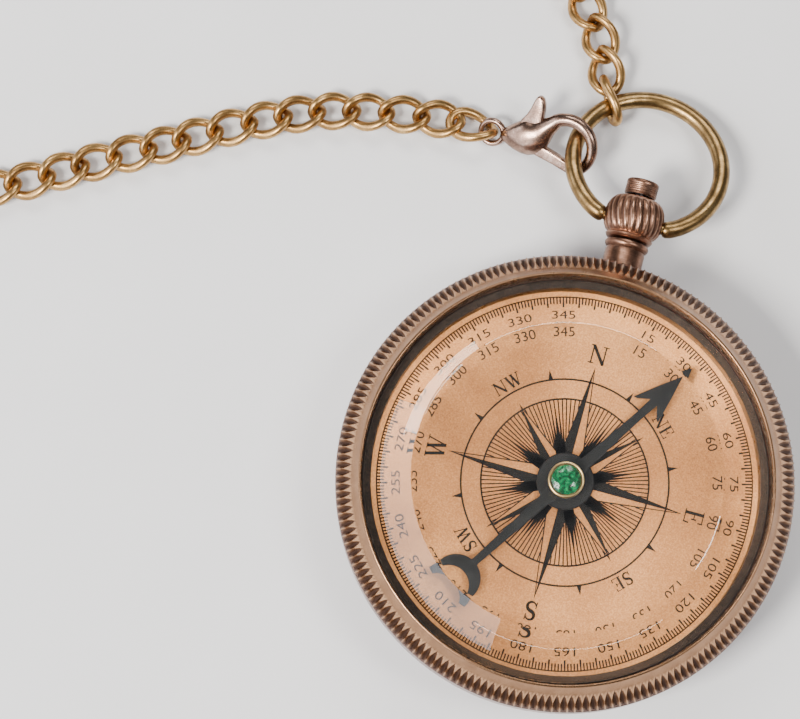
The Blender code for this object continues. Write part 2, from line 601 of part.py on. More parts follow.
def make_clasp(clasp):
    """The clasp's body: two thick cheeks, the thinner hook and the eye, slotted for the gate."""
    hook_outer_r = HOOK_INNER_R + HOOK_BAR
    cheek_mm = [(1.5, -1.0), (3.2, -2.0), (5.6, -2.9), (7.0, -2.5), (6.9, 0.0), (7.5, 1.6), (8.5, 2.55),
                (9.4, 2.8), (9.4, 4.35), (8.0, 3.95), (5.5, 3.1), (3.2, 2.1), (1.5, 1.0)]
    outline = [(x * MM, y * MM) for x, y in cheek_mm]
    body = make_object("clasp_body", plate(outline, -CLASP_BODY_T / 2, CLASP_BODY_T), PALE_BRONZE, clasp)
    centre = (HOOK_CENTRE_X, 0)
    outside = arc(centre, hook_outer_r, -77, 115, 18)
    inside = arc(centre, HOOK_INNER_R, 108, -50.7, 14)
    hook = make_object("hook_guide", plate(outside + inside, -HOOK_T / 2, HOOK_T), PALE_BRONZE, clasp)
    boolean(body, hook, "UNION")
    ring = [(EYE_HOLE_R, -EYE_T / 2), (EYE_R, -EYE_T / 2), (EYE_R, EYE_T / 2), (EYE_HOLE_R, EYE_T / 2)]
    boolean(body, make_object("eye_guide", turned(ring, 28, ring=True), PALE_BRONZE, clasp), "UNION")
    slot = box((2.9 * MM, -6 * MM, -SLOT_T / 2), (8.3 * MM, 6 * MM, SLOT_T / 2))
    cut(body, "gate_slot_cutter", slot, clasp)
    at_pin = Matrix.Translation((GATE_PIN_X, 0, 0))
    pin_half = CLASP_BODY_T / 2 + 0.1 * MM
    cut(body, "gate_pin_cutter", rod(GATE_PIN_R + 0.25 * MM, -3 * MM, 3 * MM, 16), clasp, at_pin)
    pin = make_object("gate_pin", rod(GATE_PIN_R, -pin_half, pin_half, 16), STEEL, clasp)
    pin.matrix_basis = at_pin
    spring_mm = [(3.5, 1.5, 0), (3.3, 0.6, 0), (3.3, -0.6, 0), (3.6, -1.4, 0), (4.1, -1.9, 0)]
    wire("gate_spring", [[v * MM for v in p] for p in spring_mm], 0.15 * MM, STEEL, clasp, sides=1)


def make_gate(opening):
    """The gate, modelled about its pin: a round boss, the bar that meets the hook, and the thumb tab."""
    bar_end = arc((0, 0), GATE_REACH, -31, -21, 3)
    tab_mm = [(1.2, 1.6), (1.4, 4.2), (0.9, 6.0), (0.0, 6.3), (-0.5, 5.6), (-0.6, 3.4)]
    boss = arc((0, 0), 1.2 * MM, 150, 250, 5)
    tab = [(x * MM, y * MM) for x, y in tab_mm]
    outline = [*bar_end, (1.6 * MM, -0.4 * MM), *tab, *boss, (1.4 * MM, -2.1 * MM)]
    gate = make_object("clasp_gate", plate(outline, -GATE_T / 2, GATE_T), PALE_BRONZE, opening)
    cut(gate, "gate_hole_cutter", rod(GATE_PIN_R + 0.25 * MM, -2 * MM, 2 * MM, 16), opening)


def main():
    clear_scene()
    pendant = make_empty("pendant_axis", Matrix.Translation((0, 0, PENDANT_Z)) @ ALONG_Y)
    press = make_empty("button_press", pendant.matrix_world.copy())
    spin = make_empty("needle_spin", Matrix.Rotation(math.radians(-NEEDLE_BEARING_DEG), 4, "Z"))
    tilt = make_empty("lever_tilt", Matrix.Translation((0, LEVER_PIVOT_Y, LEVER_PIVOT_Z)))
    bow_tilt = Matrix.Rotation(math.radians(-BOW_TILT_DEG), 4, "X")
    swing = make_empty("bow_swing", Matrix.Translation((0, PIVOT_Y, PENDANT_Z)) @ bow_tilt)
    slope = Matrix.Rotation(math.radians(-CLASP_SLOPE_DEG), 4, "Y")
    roll = Matrix.Rotation(math.radians(CLASP_ROLL_DEG), 4, "X")
    clasp = make_empty("clasp_frame", Matrix.Translation(CLASP_EYE_M) @ slope @ roll, swing)
    opening = make_empty("gate_open", clasp.matrix_world @ Matrix.Translation((GATE_PIN_X, 0, 0)), clasp)
    make_case(pendant)
    make_bezel()
    make_glass()
    make_dial()
    make_pivot()
    make_needle(spin)
    make_pendant(pendant)
    make_button(press, pendant)
    make_lever(tilt)
    make_lever_mount()
    make_bow(swing)
    make_links(swing)
    make_chain()
    make_clasp(clasp)
    make_gate(opening)


main()
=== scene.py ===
# %% [markdown]
# # A pocket compass with a chain
# The compass is already designed as a set of solid parts. This lesson loads them as a fixed frame
# and gives each visible part the shape and finish that a person would see: turned and fluted metal,
# a bevelled glass, a printed dial and a chain of twisted links.

# %% Load the frame
import json
import math

import bmesh
import bpy
from mathutils import Matrix, Vector


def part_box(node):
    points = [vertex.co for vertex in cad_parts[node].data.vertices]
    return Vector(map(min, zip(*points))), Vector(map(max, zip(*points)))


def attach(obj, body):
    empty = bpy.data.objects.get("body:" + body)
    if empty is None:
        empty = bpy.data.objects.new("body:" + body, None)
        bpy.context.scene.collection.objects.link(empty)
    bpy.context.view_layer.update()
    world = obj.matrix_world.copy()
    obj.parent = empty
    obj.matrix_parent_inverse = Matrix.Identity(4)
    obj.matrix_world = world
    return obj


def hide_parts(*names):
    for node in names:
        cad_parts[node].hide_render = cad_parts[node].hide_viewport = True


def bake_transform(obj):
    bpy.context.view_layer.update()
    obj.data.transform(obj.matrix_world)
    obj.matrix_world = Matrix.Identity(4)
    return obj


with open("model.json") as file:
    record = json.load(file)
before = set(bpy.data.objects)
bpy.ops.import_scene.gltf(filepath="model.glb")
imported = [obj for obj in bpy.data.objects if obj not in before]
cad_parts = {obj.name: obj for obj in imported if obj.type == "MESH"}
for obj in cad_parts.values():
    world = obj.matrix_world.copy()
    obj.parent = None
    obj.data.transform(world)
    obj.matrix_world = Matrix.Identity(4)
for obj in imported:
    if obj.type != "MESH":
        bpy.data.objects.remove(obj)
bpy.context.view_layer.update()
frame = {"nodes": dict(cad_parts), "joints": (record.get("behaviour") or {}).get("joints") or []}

MM = 0.001
print("parts in the frame:", len(frame["nodes"]))

# %% [markdown]
# ## Where things are
# Every new piece takes its place from the frame, so that nothing has to be fitted afterwards. The
# pendant lies along +Y, so its pieces are turned about Z first and then laid down. The bow and the
# clasp each have a tilted frame of their own, which starts at a joint or an eye.

# %% Axes and frames
ALONG_Y = Matrix.Rotation(math.radians(-90), 4, "X")
joint_at = {joint["name"]: Vector(joint.get("pos_m", (0, 0, 0))) for joint in frame["joints"]}
PIVOT = joint_at["bow_swing"]
PENDANT_FRAME = Matrix.Translation((0, 0, PIVOT.z)) @ ALONG_Y
BOW_TILT_DEG = 17.0
BOW_FRAME = Matrix.Translation(PIVOT) @ Matrix.Rotation(math.radians(-BOW_TILT_DEG), 4, "X")
CLASP_EYE = Vector((-21.6, 45.4, 1.6)) * MM
CLASP_SLOPE = Matrix.Rotation(math.radians(-17.0), 4, "Y")
CLASP_ROLL = Matrix.Rotation(math.radians(31.0), 4, "X")
CLASP_FRAME = Matrix.Translation(CLASP_EYE) @ CLASP_SLOPE @ CLASP_ROLL
NEEDLE_FRAME = Matrix.Rotation(math.radians(-33.1), 4, "Z")
print("bow pivot, mm:", [round(v / MM, 2) for v in PIVOT])

# %% [markdown]
# ## Camera
# The compass is seen from almost straight above, from a little below its middle, as a hand holding
# it would show it. A long lens keeps its round shapes round. The camera comes first, because the
# chain may only leave the view where the real one does.

# %% Camera
LOOK_AT = Vector((-25.25, 9.85, 12.4)) * MM
CAMERA_AT = Vector((-15.3, -57.0, 439.2)) * MM
CAMERA_UP = Vector((-0.262, 0.952, 0.155))

camera_data = bpy.data.cameras.new("camera")
camera_data.sensor_width = 36.0
camera_data.lens = 147.06
camera = bpy.data.objects.new("camera", camera_data)
back = (CAMERA_AT - LOOK_AT).normalized()
right = CAMERA_UP.cross(back).normalized()
upward = back.cross(right)
camera.matrix_world = Matrix.Translation(CAMERA_AT) @ Matrix((right, upward, back)).transposed().to_4x4()
bpy.context.scene.collection.objects.link(camera)
bpy.context.scene.camera = camera
print("camera distance, mm:", round((CAMERA_AT - LOOK_AT).length / MM))

# %% [markdown]
# ## Light
# Polished metal shows what is round it, so its look comes from large soft lamps. The main lamp is high
# on the left and towards the front, and puts the shadows behind the pieces. A wide, weak panel stands
# low on the same side: the glass's bevel mirrors it as a pale veil. No lamp stands where the flat
# table of the glass would mirror it, so the dial stays clear.


# %% Studio
def softbox(name, place, width, height, power, colour):
    """An area lamp that points at the middle of the compass."""
    data = bpy.data.lights.new(name, "AREA")
    data.shape = "RECTANGLE"
    data.size = width
    data.size_y = height
    data.energy = power
    data.color = colour
    lamp = bpy.data.objects.new(name, data)
    lamp.location = place
    lamp.rotation_euler = (Vector(place) - Vector((-0.02, 0.01, 0))).to_track_quat("Z", "Y").to_euler()
    bpy.context.scene.collection.objects.link(lamp)


softbox("main_softbox", (-0.34, -0.34, 0.66), 0.22, 0.22, 9.5, (1.0, 0.96, 0.90))
softbox("veil_panel", (-0.52, -0.30, 0.34), 1.30, 0.42, 5.5, (0.90, 0.93, 1.0))
softbox("back_softbox", (-0.10, 0.62, 0.62), 0.60, 0.30, 3.6, (1.0, 0.97, 0.93))
softbox("side_softbox", (0.34, 0.02, 0.66), 0.16, 0.30, 2.5, (1.0, 0.98, 0.96))

sky = bpy.data.worlds.new("sky")
sky.use_nodes = True
sky.node_tree.nodes["Background"].inputs["Color"].default_value = (0.90, 0.93, 1.0, 1.0)
sky.node_tree.nodes["Background"].inputs["Strength"].default_value = 0.13
bpy.context.scene.world = sky
print("lamps:", len(bpy.data.lights))

# %% [markdown]
# ## Ways to make a shape
# Most of this object is turned, bent from wire or stamped from sheet. So three short helpers make
# nearly all of it: `turned` spins an outline, `sweep` carries a circle along stations, and `slab`
# raises a flat outline. Outlines are in millimetres, because that is how a turner would write them.


# %% Shape helpers
def turned(outline_mm, sides):
    """Spin (radius, height) pairs about Z. An outline that doesn't end on the axis closes on itself."""
    bm = bmesh.new()
    points = [bm.verts.new((r * MM, 0.0, z * MM)) for r, z in outline_mm]
    edges = [bm.edges.new(pair) for pair in zip(points, points[1:])]
    if outline_mm[0][0] > 0 and outline_mm[-1][0] > 0:
        edges.append(bm.edges.new((points[-1], points[0])))
    axis = {"cent": (0, 0, 0), "axis": (0, 0, 1)}
    bmesh.ops.spin(bm, geom=points + edges, **axis, angle=math.tau, steps=sides, use_merge=True)
    bmesh.ops.remove_doubles(bm, verts=bm.verts[:], dist=1e-7)
    return bm


def slab(outline_mm, low_mm, high_mm):
    """Raise a flat (x, y) outline from one height to another."""
    bm = bmesh.new()
    face = bm.faces.new([bm.verts.new((x * MM, y * MM, low_mm * MM)) for x, y in outline_mm])
    grown = bmesh.ops.extrude_face_region(bm, geom=[face])["geom"]
    raised = [item for item in grown if isinstance(item, bmesh.types.BMVert)]
    bmesh.ops.translate(bm, verts=raised, vec=(0, 0, (high_mm - low_mm) * MM))
    return bm


def sweep(stations, sides, closed=False):
    """Carry a circle of radius 1 through a list of matrices, and close its two ends."""
    bm = bmesh.new()
    ring = bmesh.ops.create_circle(bm, segments=sides, radius=1.0)["verts"]
    bmesh.ops.transform(bm, matrix=stations[0], verts=ring)
    edges = bm.edges[:]
    first = edges
    for before, after in zip(stations, stations[1:]):
        grown = bmesh.ops.extrude_edge_only(bm, edges=edges)["geom"]
        ring = {item for item in grown if isinstance(item, bmesh.types.BMVert)}
        edges = [e for e in grown if isinstance(e, bmesh.types.BMEdge) and set(e.verts) <= ring]
        bmesh.ops.transform(bm, matrix=after @ before.inverted(), verts=list(ring))
    if closed:
        bmesh.ops.bridge_loops(bm, edges=first + edges)
    else:
        bmesh.ops.edgeloop_fill(bm, edges=first)
        bmesh.ops.edgeloop_fill(bm, edges=edges)
    return bm


def stations_along(points_mm, radii_mm, depths_mm=None):
    """Stations for a sweep along points in the XY plane: radius across it, depth along Z."""
    made = []
    for i, point in enumerate(points_mm):
        ahead = Vector(points_mm[min(i + 1, len(points_mm) - 1)])
        behind = Vector(points_mm[max(i - 1, 0)])
        tangent = (ahead - behind).to_3d().normalized()
        normal = Vector((0, 0, 1))
        side = normal.cross(tangent)
        turn = Matrix((side, normal, tangent)).transposed().to_4x4()
        depth = depths_mm[i] if depths_mm else radii_mm[i]
        size = Matrix.Diagonal((radii_mm[i] * MM, depth * MM, MM, 1.0))
        made.append(Matrix.Translation(Vector(point).to_3d() * MM) @ turn @ size)
    return made


def arc(centre, radius, start_deg, end_deg, steps):
    """Points along a circular arc, both ends included."""
    angles = [math.radians(start_deg + (end_deg - start_deg) * i / steps) for i in range(steps + 1)]
    return [(centre[0] + radius * math.cos(a), centre[1] + radius * math.sin(a)) for a in angles]


def soften(bm, width_mm, angle_deg=30.0, segments=2):
    """Round every edge that is sharper than an angle."""
    limit = math.radians(angle_deg)
    sharp = [e for e in bm.edges if len(e.link_faces) == 2 and e.calc_face_angle() > limit]
    bmesh.ops.bevel(bm, geom=sharp, offset=width_mm * MM, offset_type="OFFSET", segments=segments,
                    profile=0.5, affect="EDGES", material=-1, clamp_overlap=True)
    return bm


def moved(bm, placement):
    """Put a whole mesh in its place."""
    bmesh.ops.transform(bm, matrix=placement, verts=bm.verts[:])
    return bm


def add_piece(name, bm, body, nodes, material, smooth_deg=40.0):
    """Store a mesh as a piece that rides on a body, and that stands for parts of the frame."""
    bmesh.ops.recalc_face_normals(bm, faces=bm.faces[:])
    mesh = bpy.data.meshes.new(name)
    bm.to_mesh(mesh)
    bm.free()
    mesh.materials.append(material)
    mesh.shade_smooth()
    mesh.set_sharp_from_angle(angle=math.radians(smooth_deg))
    piece = bpy.data.objects.new(name, mesh)
    bpy.context.scene.collection.objects.link(piece)
    if body:
        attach(piece, body)
    if nodes:
        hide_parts(*nodes)
    size = [round(v / MM, 1) for v in piece.dimensions]
    lowest = round(min(v.co.z for v in mesh.vertices) / MM, 2)
    triangles = sum(len(p.vertices) - 2 for p in mesh.polygons)
    print(name, size, "mm, from", lowest, "mm up,", triangles, "triangles")
    return piece


# %% [markdown]
# ## Ways to make a finish
# A finish is a Principled shader whose colour, roughness and bump come from noise on Object
# coordinates. Those are metres on the piece itself, so a grain of a tenth of a millimetre has that
# size on every piece. Turned pieces get rings about their own axis, which a lathe tool leaves.


# %% Finish helpers
def node(tree, kind, inputs=None, **settings):
    """Add a shader node, set its options, and link or set its inputs."""
    made = tree.nodes.new("ShaderNode" + kind)
    for key, value in settings.items():
        setattr(made, key, value)
    for key, value in (inputs or {}).items():
        if isinstance(value, bpy.types.NodeSocket):
            tree.links.new(value, made.inputs[key])
        else:
            made.inputs[key].default_value = value
    return made


def new_finish(name, metallic):
    """An empty finish: the material, its tree and its shader."""
    material = bpy.data.materials.new(name)
    material.use_nodes = True
    tree = material.node_tree
    shader = tree.nodes["Principled BSDF"]
    shader.inputs["Metallic"].default_value = metallic
    return material, tree, shader


def ramp(tree, factor, stops):
    """A colour ramp through (position, colour) stops."""
    made = node(tree, "ValToRGB", {"Fac": factor})
    elements = made.color_ramp.elements
    while len(elements) < len(stops):
        elements.new(0.5)
    for element, (position, colour) in zip(elements, stops):
        element.position = position
        element.color = (*colour, 1.0)
    return made.outputs["Color"]


def noise(tree, where, size_mm, detail=4.0, rough=0.55):
    """Noise whose main features are about size_mm across."""
    inputs = {"Vector": where, "Scale": 1 / (size_mm * MM), "Detail": detail, "Roughness": rough}
    return node(tree, "TexNoise", inputs).outputs["Fac"]


def lathe_rings(tree, where):
    """Coordinates that only change with the distance from Z and with height, for turned rings."""
    flat = node(tree, "VectorMath", {0: where, 1: (1.0, 1.0, 0.0)}, operation="MULTIPLY").outputs["Vector"]
    radius = node(tree, "VectorMath", {0: flat}, operation="LENGTH").outputs["Value"]
    height = node(tree, "SeparateXYZ", {"Vector": where}).outputs["Z"]
    return node(tree, "CombineXYZ", {"X": radius, "Z": height}).outputs["Vector"]


def aged_metal(name, tarnish, rubbed, bright, patch_mm, grain, gloss, turned_about=None, relief=False):
    """Plated metal: brown where tarnish stays, warm where hands rub it, bright on the high spots.

    grain is the size of the fine marks along X, Y and Z in millimetres. turned_about is a frame whose
    Z is a lathe's axis. relief says that the mesh holds the height of its pattern, from 0 to 1.
    """
    material, tree, shader = new_finish(name, 1.0)
    where = node(tree, "TexCoord").outputs["Object"]
    patches = noise(tree, where, patch_mm, 6.0, 0.62)
    if turned_about is not None:
        back_home = turned_about.inverted()
        settings = {"Vector": where, "Location": back_home.translation, "Rotation": back_home.to_euler()}
        along = lathe_rings(tree, node(tree, "Mapping", settings).outputs["Vector"])
        marks = noise(tree, along, grain[0], 3.0, 0.5)
    else:
        scale = [1 / (v * MM) for v in grain]
        along = node(tree, "Mapping", {"Vector": where, "Scale": scale}).outputs["Vector"]
        marks = node(tree, "TexNoise", {"Vector": along, "Scale": 1.0, "Detail": 3.0}).outputs["Fac"]
    wear = node(tree, "Mix", {"Factor": 0.3, "A": patches, "B": marks}).outputs["Result"]
    if relief:
        height = node(tree, "Attribute", attribute_name="relief").outputs["Fac"]
        wear = node(tree, "Mix", {"Factor": 0.72, "A": wear, "B": height}).outputs["Result"]
        stops = [(0.16, tarnish), (0.62, rubbed), (0.92, bright)]
    else:
        stops = [(0.30, tarnish), (0.52, rubbed), (0.72, bright)]
    tree.links.new(ramp(tree, wear, stops), shader.inputs["Base Color"])
    spread = {"Value": wear, "From Min": 0.25, "From Max": 0.75, "To Min": gloss + 0.16, "To Max": gloss}
    tree.links.new(node(tree, "MapRange", spread).outputs["Result"], shader.inputs["Roughness"])
    bump = node(tree, "Bump", {"Height": marks, "Strength": 0.22, "Distance": 0.03 * MM})
    tree.links.new(bump.outputs["Normal"], shader.inputs["Normal"])
    return material


def mottled(name, dark, light, patch_mm, roughness, specular=0.5):
    """Paint, ink, stone or rubber, whose colour varies a little from place to place."""
    material, tree, shader = new_finish(name, 0.0)
    where = node(tree, "TexCoord").outputs["Object"]
    colour = ramp(tree, noise(tree, where, patch_mm), [(0.3, dark), (0.7, light)])
    tree.links.new(colour, shader.inputs["Base Color"])
    shader.inputs["Roughness"].default_value = roughness
    shader.inputs["Specular IOR Level"].default_value = specular
    return material


# %% [markdown]
# ## The metals
# The case and pendant are brass with a copper-coloured plate, antiqued so that brown stays in the
# hollows. The bow and the chain are yellow brass, and the clasp is a paler cast bronze. Each finish is
# named for where it is used, and its three colours run from tarnished to rubbed to bright. The ring in
# the bore is the exception: all three of its colours are near black, as painted shade.

# %% Metals
COPPER_DARK = (0.055, 0.028, 0.020)
COPPER_WARM = (0.20, 0.102, 0.054)
COPPER_BRIGHT = (0.58, 0.34, 0.19)
case_copper = aged_metal("case_copper", (0.16, 0.095, 0.082), (0.29, 0.19, 0.16), (0.42, 0.30, 0.255), 9.0,
                         (0.12, 0.12, 0.12), 0.24, Matrix.Identity(4))
fluted_copper = aged_metal("fluted_copper", COPPER_DARK, COPPER_WARM, COPPER_BRIGHT, 2.2,
                           (0.10, 0.10, 0.10), 0.26, None, True)
pendant_copper = aged_metal("pendant_copper", COPPER_DARK, (0.22, 0.115, 0.075), (0.52, 0.31, 0.22), 1.6,
                            (0.10, 0.10, 0.10), 0.28, PENDANT_FRAME)
ball_copper = aged_metal("ball_copper", COPPER_DARK, (0.27, 0.14, 0.09), (0.60, 0.37, 0.26), 1.2,
                         (0.15, 0.15, 0.15), 0.28, None, True)
bow_brass = aged_metal("bow_brass", (0.085, 0.050, 0.020), (0.28, 0.175, 0.072), (0.60, 0.41, 0.18), 1.8,
                       (0.5, 0.09, 0.09), 0.24)
chain_brass = aged_metal("chain_brass", (0.17, 0.085, 0.03), (0.48, 0.28, 0.105), (0.76, 0.50, 0.22), 2.4,
                         (0.16, 0.16, 0.16), 0.26)
clasp_bronze = aged_metal("clasp_bronze", (0.09, 0.052, 0.038), (0.32, 0.205, 0.155), (0.60, 0.43, 0.34), 1.5,
                          (0.14, 0.14, 0.14), 0.18)
inner_brass = aged_metal("inner_brass", (0.30, 0.19, 0.07), (0.62, 0.42, 0.18), (0.85, 0.66, 0.36), 1.0,
                         (0.08, 0.08, 0.08), 0.22)
cut_steel = aged_metal("cut_steel", (0.28, 0.28, 0.29), (0.52, 0.52, 0.54), (0.74, 0.74, 0.76), 0.8,
                       (0.05, 0.30, 0.05), 0.20)
# Painted shade: the ring in the bore is made near black, so that the shadow and dark reflections there are
# painted into its colour.
painted_shade_bore = aged_metal("painted_shade_bore", (0.010, 0.006, 0.005), (0.030, 0.016, 0.012),
                        (0.085, 0.050, 0.036), 2.0, (0.08, 0.08, 0.08), 0.22, Matrix.Identity(4))
print("metals:", len(bpy.data.materials))

# %% [markdown]
# ## The chain
# It is a curb chain: every link is an oval of wire with the same twist, so that it hooks square
# through its neighbours and the whole chain lies flat. One link starts as a ring spun from a circle.
# Its rings are then shifted lengthwise to make the oval, and turned about its long axis to twist it.
# The chain rests on the table, from the bow's link to the clasp's.

# %% One twisted link
LINK_WIRE_R = 0.66
LINK_HALF_LENGTH = 3.75 - LINK_WIRE_R
LINK_HALF_WIDTH = 2.70 - LINK_WIRE_R
LINK_WIDTH = 5.4 * MM


def twisted_link(twist_deg):
    """A link about the origin, its length along X, whose two ends are turned opposite ways."""
    bm = bmesh.new()
    place = Matrix.Translation((0, LINK_HALF_WIDTH * MM, 0)) @ Matrix.Rotation(math.radians(90), 4, "Y")
    ring = bmesh.ops.create_circle(bm, segments=12, radius=LINK_WIRE_R * MM, matrix=place)["verts"]
    geom = ring + bm.edges[:]
    bmesh.ops.spin(bm, geom=geom, cent=(0, 0, 0), axis=(0, 0, 1), angle=math.tau, steps=36, use_merge=True)
    for vertex in bm.verts:
        along = math.cos(math.atan2(vertex.co.y, vertex.co.x))
        vertex.co.x += (LINK_HALF_LENGTH - LINK_HALF_WIDTH) * MM * along
    for vertex in bm.verts:
        twist = -math.radians(twist_deg) * vertex.co.x / (LINK_HALF_LENGTH * MM)
        vertex.co = Matrix.Rotation(twist, 3, "X") @ vertex.co
    mesh = bpy.data.meshes.new("link")
    bm.to_mesh(mesh)
    bm.free()
    return mesh


LINK_TWIST_DEG = 43.0
link_mesh = twisted_link(LINK_TWIST_DEG)
print("one link:", len(link_mesh.polygons), "faces")

# %% [markdown]
# The chain's route is a smooth curve through a few points on the table. Links stand at equal steps
# along it. A pitch a little under a link's inside length keeps every pair of links hooked and clear of
# each other.

# %% The chain's route
LINK_PITCH = 4.72 * MM
CHAIN_HEIGHT = 1.50 * MM
CHAIN_ROUTE_MM = [
    (-29.1, 45.1), (-35.3, 44.2), (-44.9, 41.9), (-54.2, 37.6), (-64.0, 31.9), (-73.6, 26.4),
    (-82.8, 20.9), (-92.6, 17.0), (-102.8, 17.6), (-111.6, 23.2), (-116.8, 32.4), (-117.6, 43.2),
    (-113.6, 53.4), (-106.0, 61.2), (-96.0, 65.6), (-85.2, 67.4), (-74.4, 69.2), (-63.8, 72.2),
    (-53.2, 75.2), (-42.4, 76.4), (-31.6, 76.2), (-22.4, 73.2), (-15.6, 67.8), (-11.3, 62.9),
    (-8.75, 57.6),
]


def smooth_route(points, step):
    """Points a step apart along the smooth curve that passes through the route's own points."""
    ends = [2 * points[0] - points[1], *points, 2 * points[-1] - points[-2]]
    fine = []
    for a, b, c, d in zip(ends, ends[1:], ends[2:], ends[3:]):
        for i in range(40):
            t = i / 40
            fine.append(0.5 * (2 * b + (c - a) * t + (2 * a - 5 * b + 4 * c - d) * t * t
                               + (3 * b - a - 3 * c + d) * t ** 3))
    fine.append(points[-1])
    length = sum((b - a).length for a, b in zip(fine, fine[1:]))
    count = round(length / step)
    spaced = [fine[0]]
    walked = 0.0
    for a, b in zip(fine, fine[1:]):
        walked += (b - a).length
        if walked >= length * len(spaced) / count - 1e-9 and len(spaced) < count:
            spaced.append(b)
    return spaced + [fine[-1]], length


route = [Vector((x * MM, y * MM, CHAIN_HEIGHT)) for x, y in CHAIN_ROUTE_MM]
link_places, chain_length = smooth_route(route, LINK_PITCH)
print("chain:", round(chain_length / MM, 1), "mm in", len(link_places), "links")

# %% Lay the links
BOW_END_LEAN_DEG = 24.0
CLASP_END_LEAN_DEG = -12.0
LEAN_LINKS = 4


def link_lean(index, count):
    """Links lie flat, apart from the last few at each end, which turn towards their neighbour."""
    to_clasp = max(0.0, 1 - index / LEAN_LINKS)
    to_bow = max(0.0, 1 - (count - 1 - index) / LEAN_LINKS)
    return math.radians(CLASP_END_LEAN_DEG * to_clasp + BOW_END_LEAN_DEG * to_bow)


def lay_link(bm, mesh, placement):
    """Add one more link to a mesh."""
    before = len(bm.verts)
    bm.from_mesh(mesh)
    bm.verts.ensure_lookup_table()
    bmesh.ops.transform(bm, matrix=placement, verts=bm.verts[before:])


chain_bm = bmesh.new()
last = len(link_places) - 1
for index, middle in enumerate(link_places):
    run = link_places[min(index + 1, last)] - link_places[max(index - 1, 0)]
    heading = Matrix.Rotation(math.atan2(run.y, run.x), 4, "Z")
    lean = link_lean(index, len(link_places))
    rise = Matrix.Translation((0, 0, 0.45 * LINK_WIDTH * abs(math.sin(lean))))
    lay_link(chain_bm, link_mesh, Matrix.Translation(middle) @ rise @ heading @ Matrix.Rotation(lean, 4, "X"))
curb_chain = add_piece("curb_chain", chain_bm, None, ["chain_run"], chain_brass, 180)
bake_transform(curb_chain)

# %% [markdown]
# ## The links at the chain's ends
# One link goes round the bow and stands on its edge there, and one goes through the clasp's eye. Both
# move with the bow. They're made like the others, with less twist in the one that the bow fills.

# %% End links
end_low, end_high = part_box("chain_end_link")
end_middle = (end_low + end_high) / 2
END_LINK_HEADING = Matrix.Rotation(math.radians(121.0), 4, "Z")
on_edge = Matrix.Rotation(math.radians(90), 4, "X")
bow_link_bm = bmesh.new()
lay_link(bow_link_bm, twisted_link(12.0), Matrix.Translation(end_middle) @ END_LINK_HEADING @ on_edge)
bow_link = add_piece("bow_link", bow_link_bm, "bow", ["chain_end_link"], chain_brass, 180)
clasp_low, clasp_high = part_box("clasp_link")
link_roll = Matrix.Rotation(math.radians(-24.0), 4, "X")
eye_link_middle = (clasp_low + clasp_high) / 2 + Vector((0, 0, 0.2 * MM))
clasp_link_bm = bmesh.new()
lay_link(clasp_link_bm, twisted_link(30.0), Matrix.Translation(eye_link_middle) @ link_roll)
eye_link = add_piece("eye_link", clasp_link_bm, "bow", ["clasp_link"], chain_brass, 180)

# %% [markdown]
# ## The bow
# A length of round wire is bent to nearly a full ring, and its thinned ends spring into holes in the
# ball. A sweep of one circle along the ring, with smaller circles at the ends, gives both in one mesh.

# %% Bow
BOW_MEAN_R = 10.2
BOW_CENTRE = 9.1
BOW_WIRE_R = 1.15
BOW_SPAN_DEG = 138.0
ring_mm = arc((0, BOW_CENTRE), BOW_MEAN_R, 90 - BOW_SPAN_DEG, 90 + BOW_SPAN_DEG, 110)
foot_mm = [(2.9, 0.0), (4.12, 0.0), (4.18, 0.01), (4.42, 0.05), (4.9, 0.22), (5.55, 0.56), (6.2, 0.98)]
foot_radii = [0.7, 0.7, 0.96, 1.1, BOW_WIRE_R, BOW_WIRE_R, BOW_WIRE_R]
bow_mm = foot_mm + ring_mm[1:-1] + [(-x, y) for x, y in reversed(foot_mm)]
bow_radii = foot_radii + [BOW_WIRE_R] * (len(ring_mm) - 2) + foot_radii[::-1]
bow_bm = moved(sweep(stations_along(bow_mm, bow_radii), 28), BOW_FRAME)
add_piece("wire_bow", bow_bm, "bow", ["bow_ring"], bow_brass)

# %% [markdown]
# ## The clasp
# A spring clasp is cast as one horn: it swells from the eye into the body, and tapers again round the
# hook. A sweep whose radius changes from station to station gives that shape, and a small closed sweep
# makes the eye.

# %% Clasp body
HOOK_CENTRE_X = 10.75
HOOK_MEAN_R = 3.70
body_line = [(1.35, 0.0), (1.9, 0.0), (2.6, 0.02), (3.4, 0.06), (4.2, 0.12), (5.0, 0.22), (5.8, 0.45),
             (6.55, 0.85), (7.2, 1.45), (7.85, 2.15), (8.6, 2.80)]
body_radii = [0.75, 1.05, 1.50, 1.95, 2.30, 2.55, 2.55, 2.25, 1.75, 1.35, 1.10]
body_depths = [0.50, 0.85, 1.20, 1.40, 1.50, 1.55, 1.50, 1.40, 1.25, 1.10, 0.98]
hook_line = arc((HOOK_CENTRE_X, 0), HOOK_MEAN_R, 116, -50, 30)
hook_radii = [0.98 - 0.26 * (i / 30) ** 0.7 for i in range(31)]
hook_depths = [0.92 - 0.24 * (i / 30) ** 0.7 for i in range(31)]
horn = sweep(stations_along(body_line + hook_line, body_radii + hook_radii, body_depths + hook_depths), 24)
EYE_MEAN_R = 1.62
eye = sweep(stations_along(arc((0, 0), EYE_MEAN_R, 0, 350, 35), [0.40] * 36, [0.45] * 36), 14, closed=True)


def joined(first, second):
    """Add one mesh to another."""
    keeper = bpy.data.meshes.new("joined")
    second.to_mesh(keeper)
    second.free()
    first.from_mesh(keeper)
    return first


clasp_bm = moved(joined(horn, eye), CLASP_FRAME)
clasp = add_piece("clasp_horn", clasp_bm, "bow", ["clasp_body"], clasp_bronze, 60)

# %% [markdown]
# The gate is a plate that stands in a slot of the body and turns on a pin. Its bar closes the hook at
# the bottom, and its tab sticks out at the top for the thumb. The slot would be hidden by the plate
# that fills it, so it is left out: the plate is raised from its outline, eased at its edges and laid
# through the body.

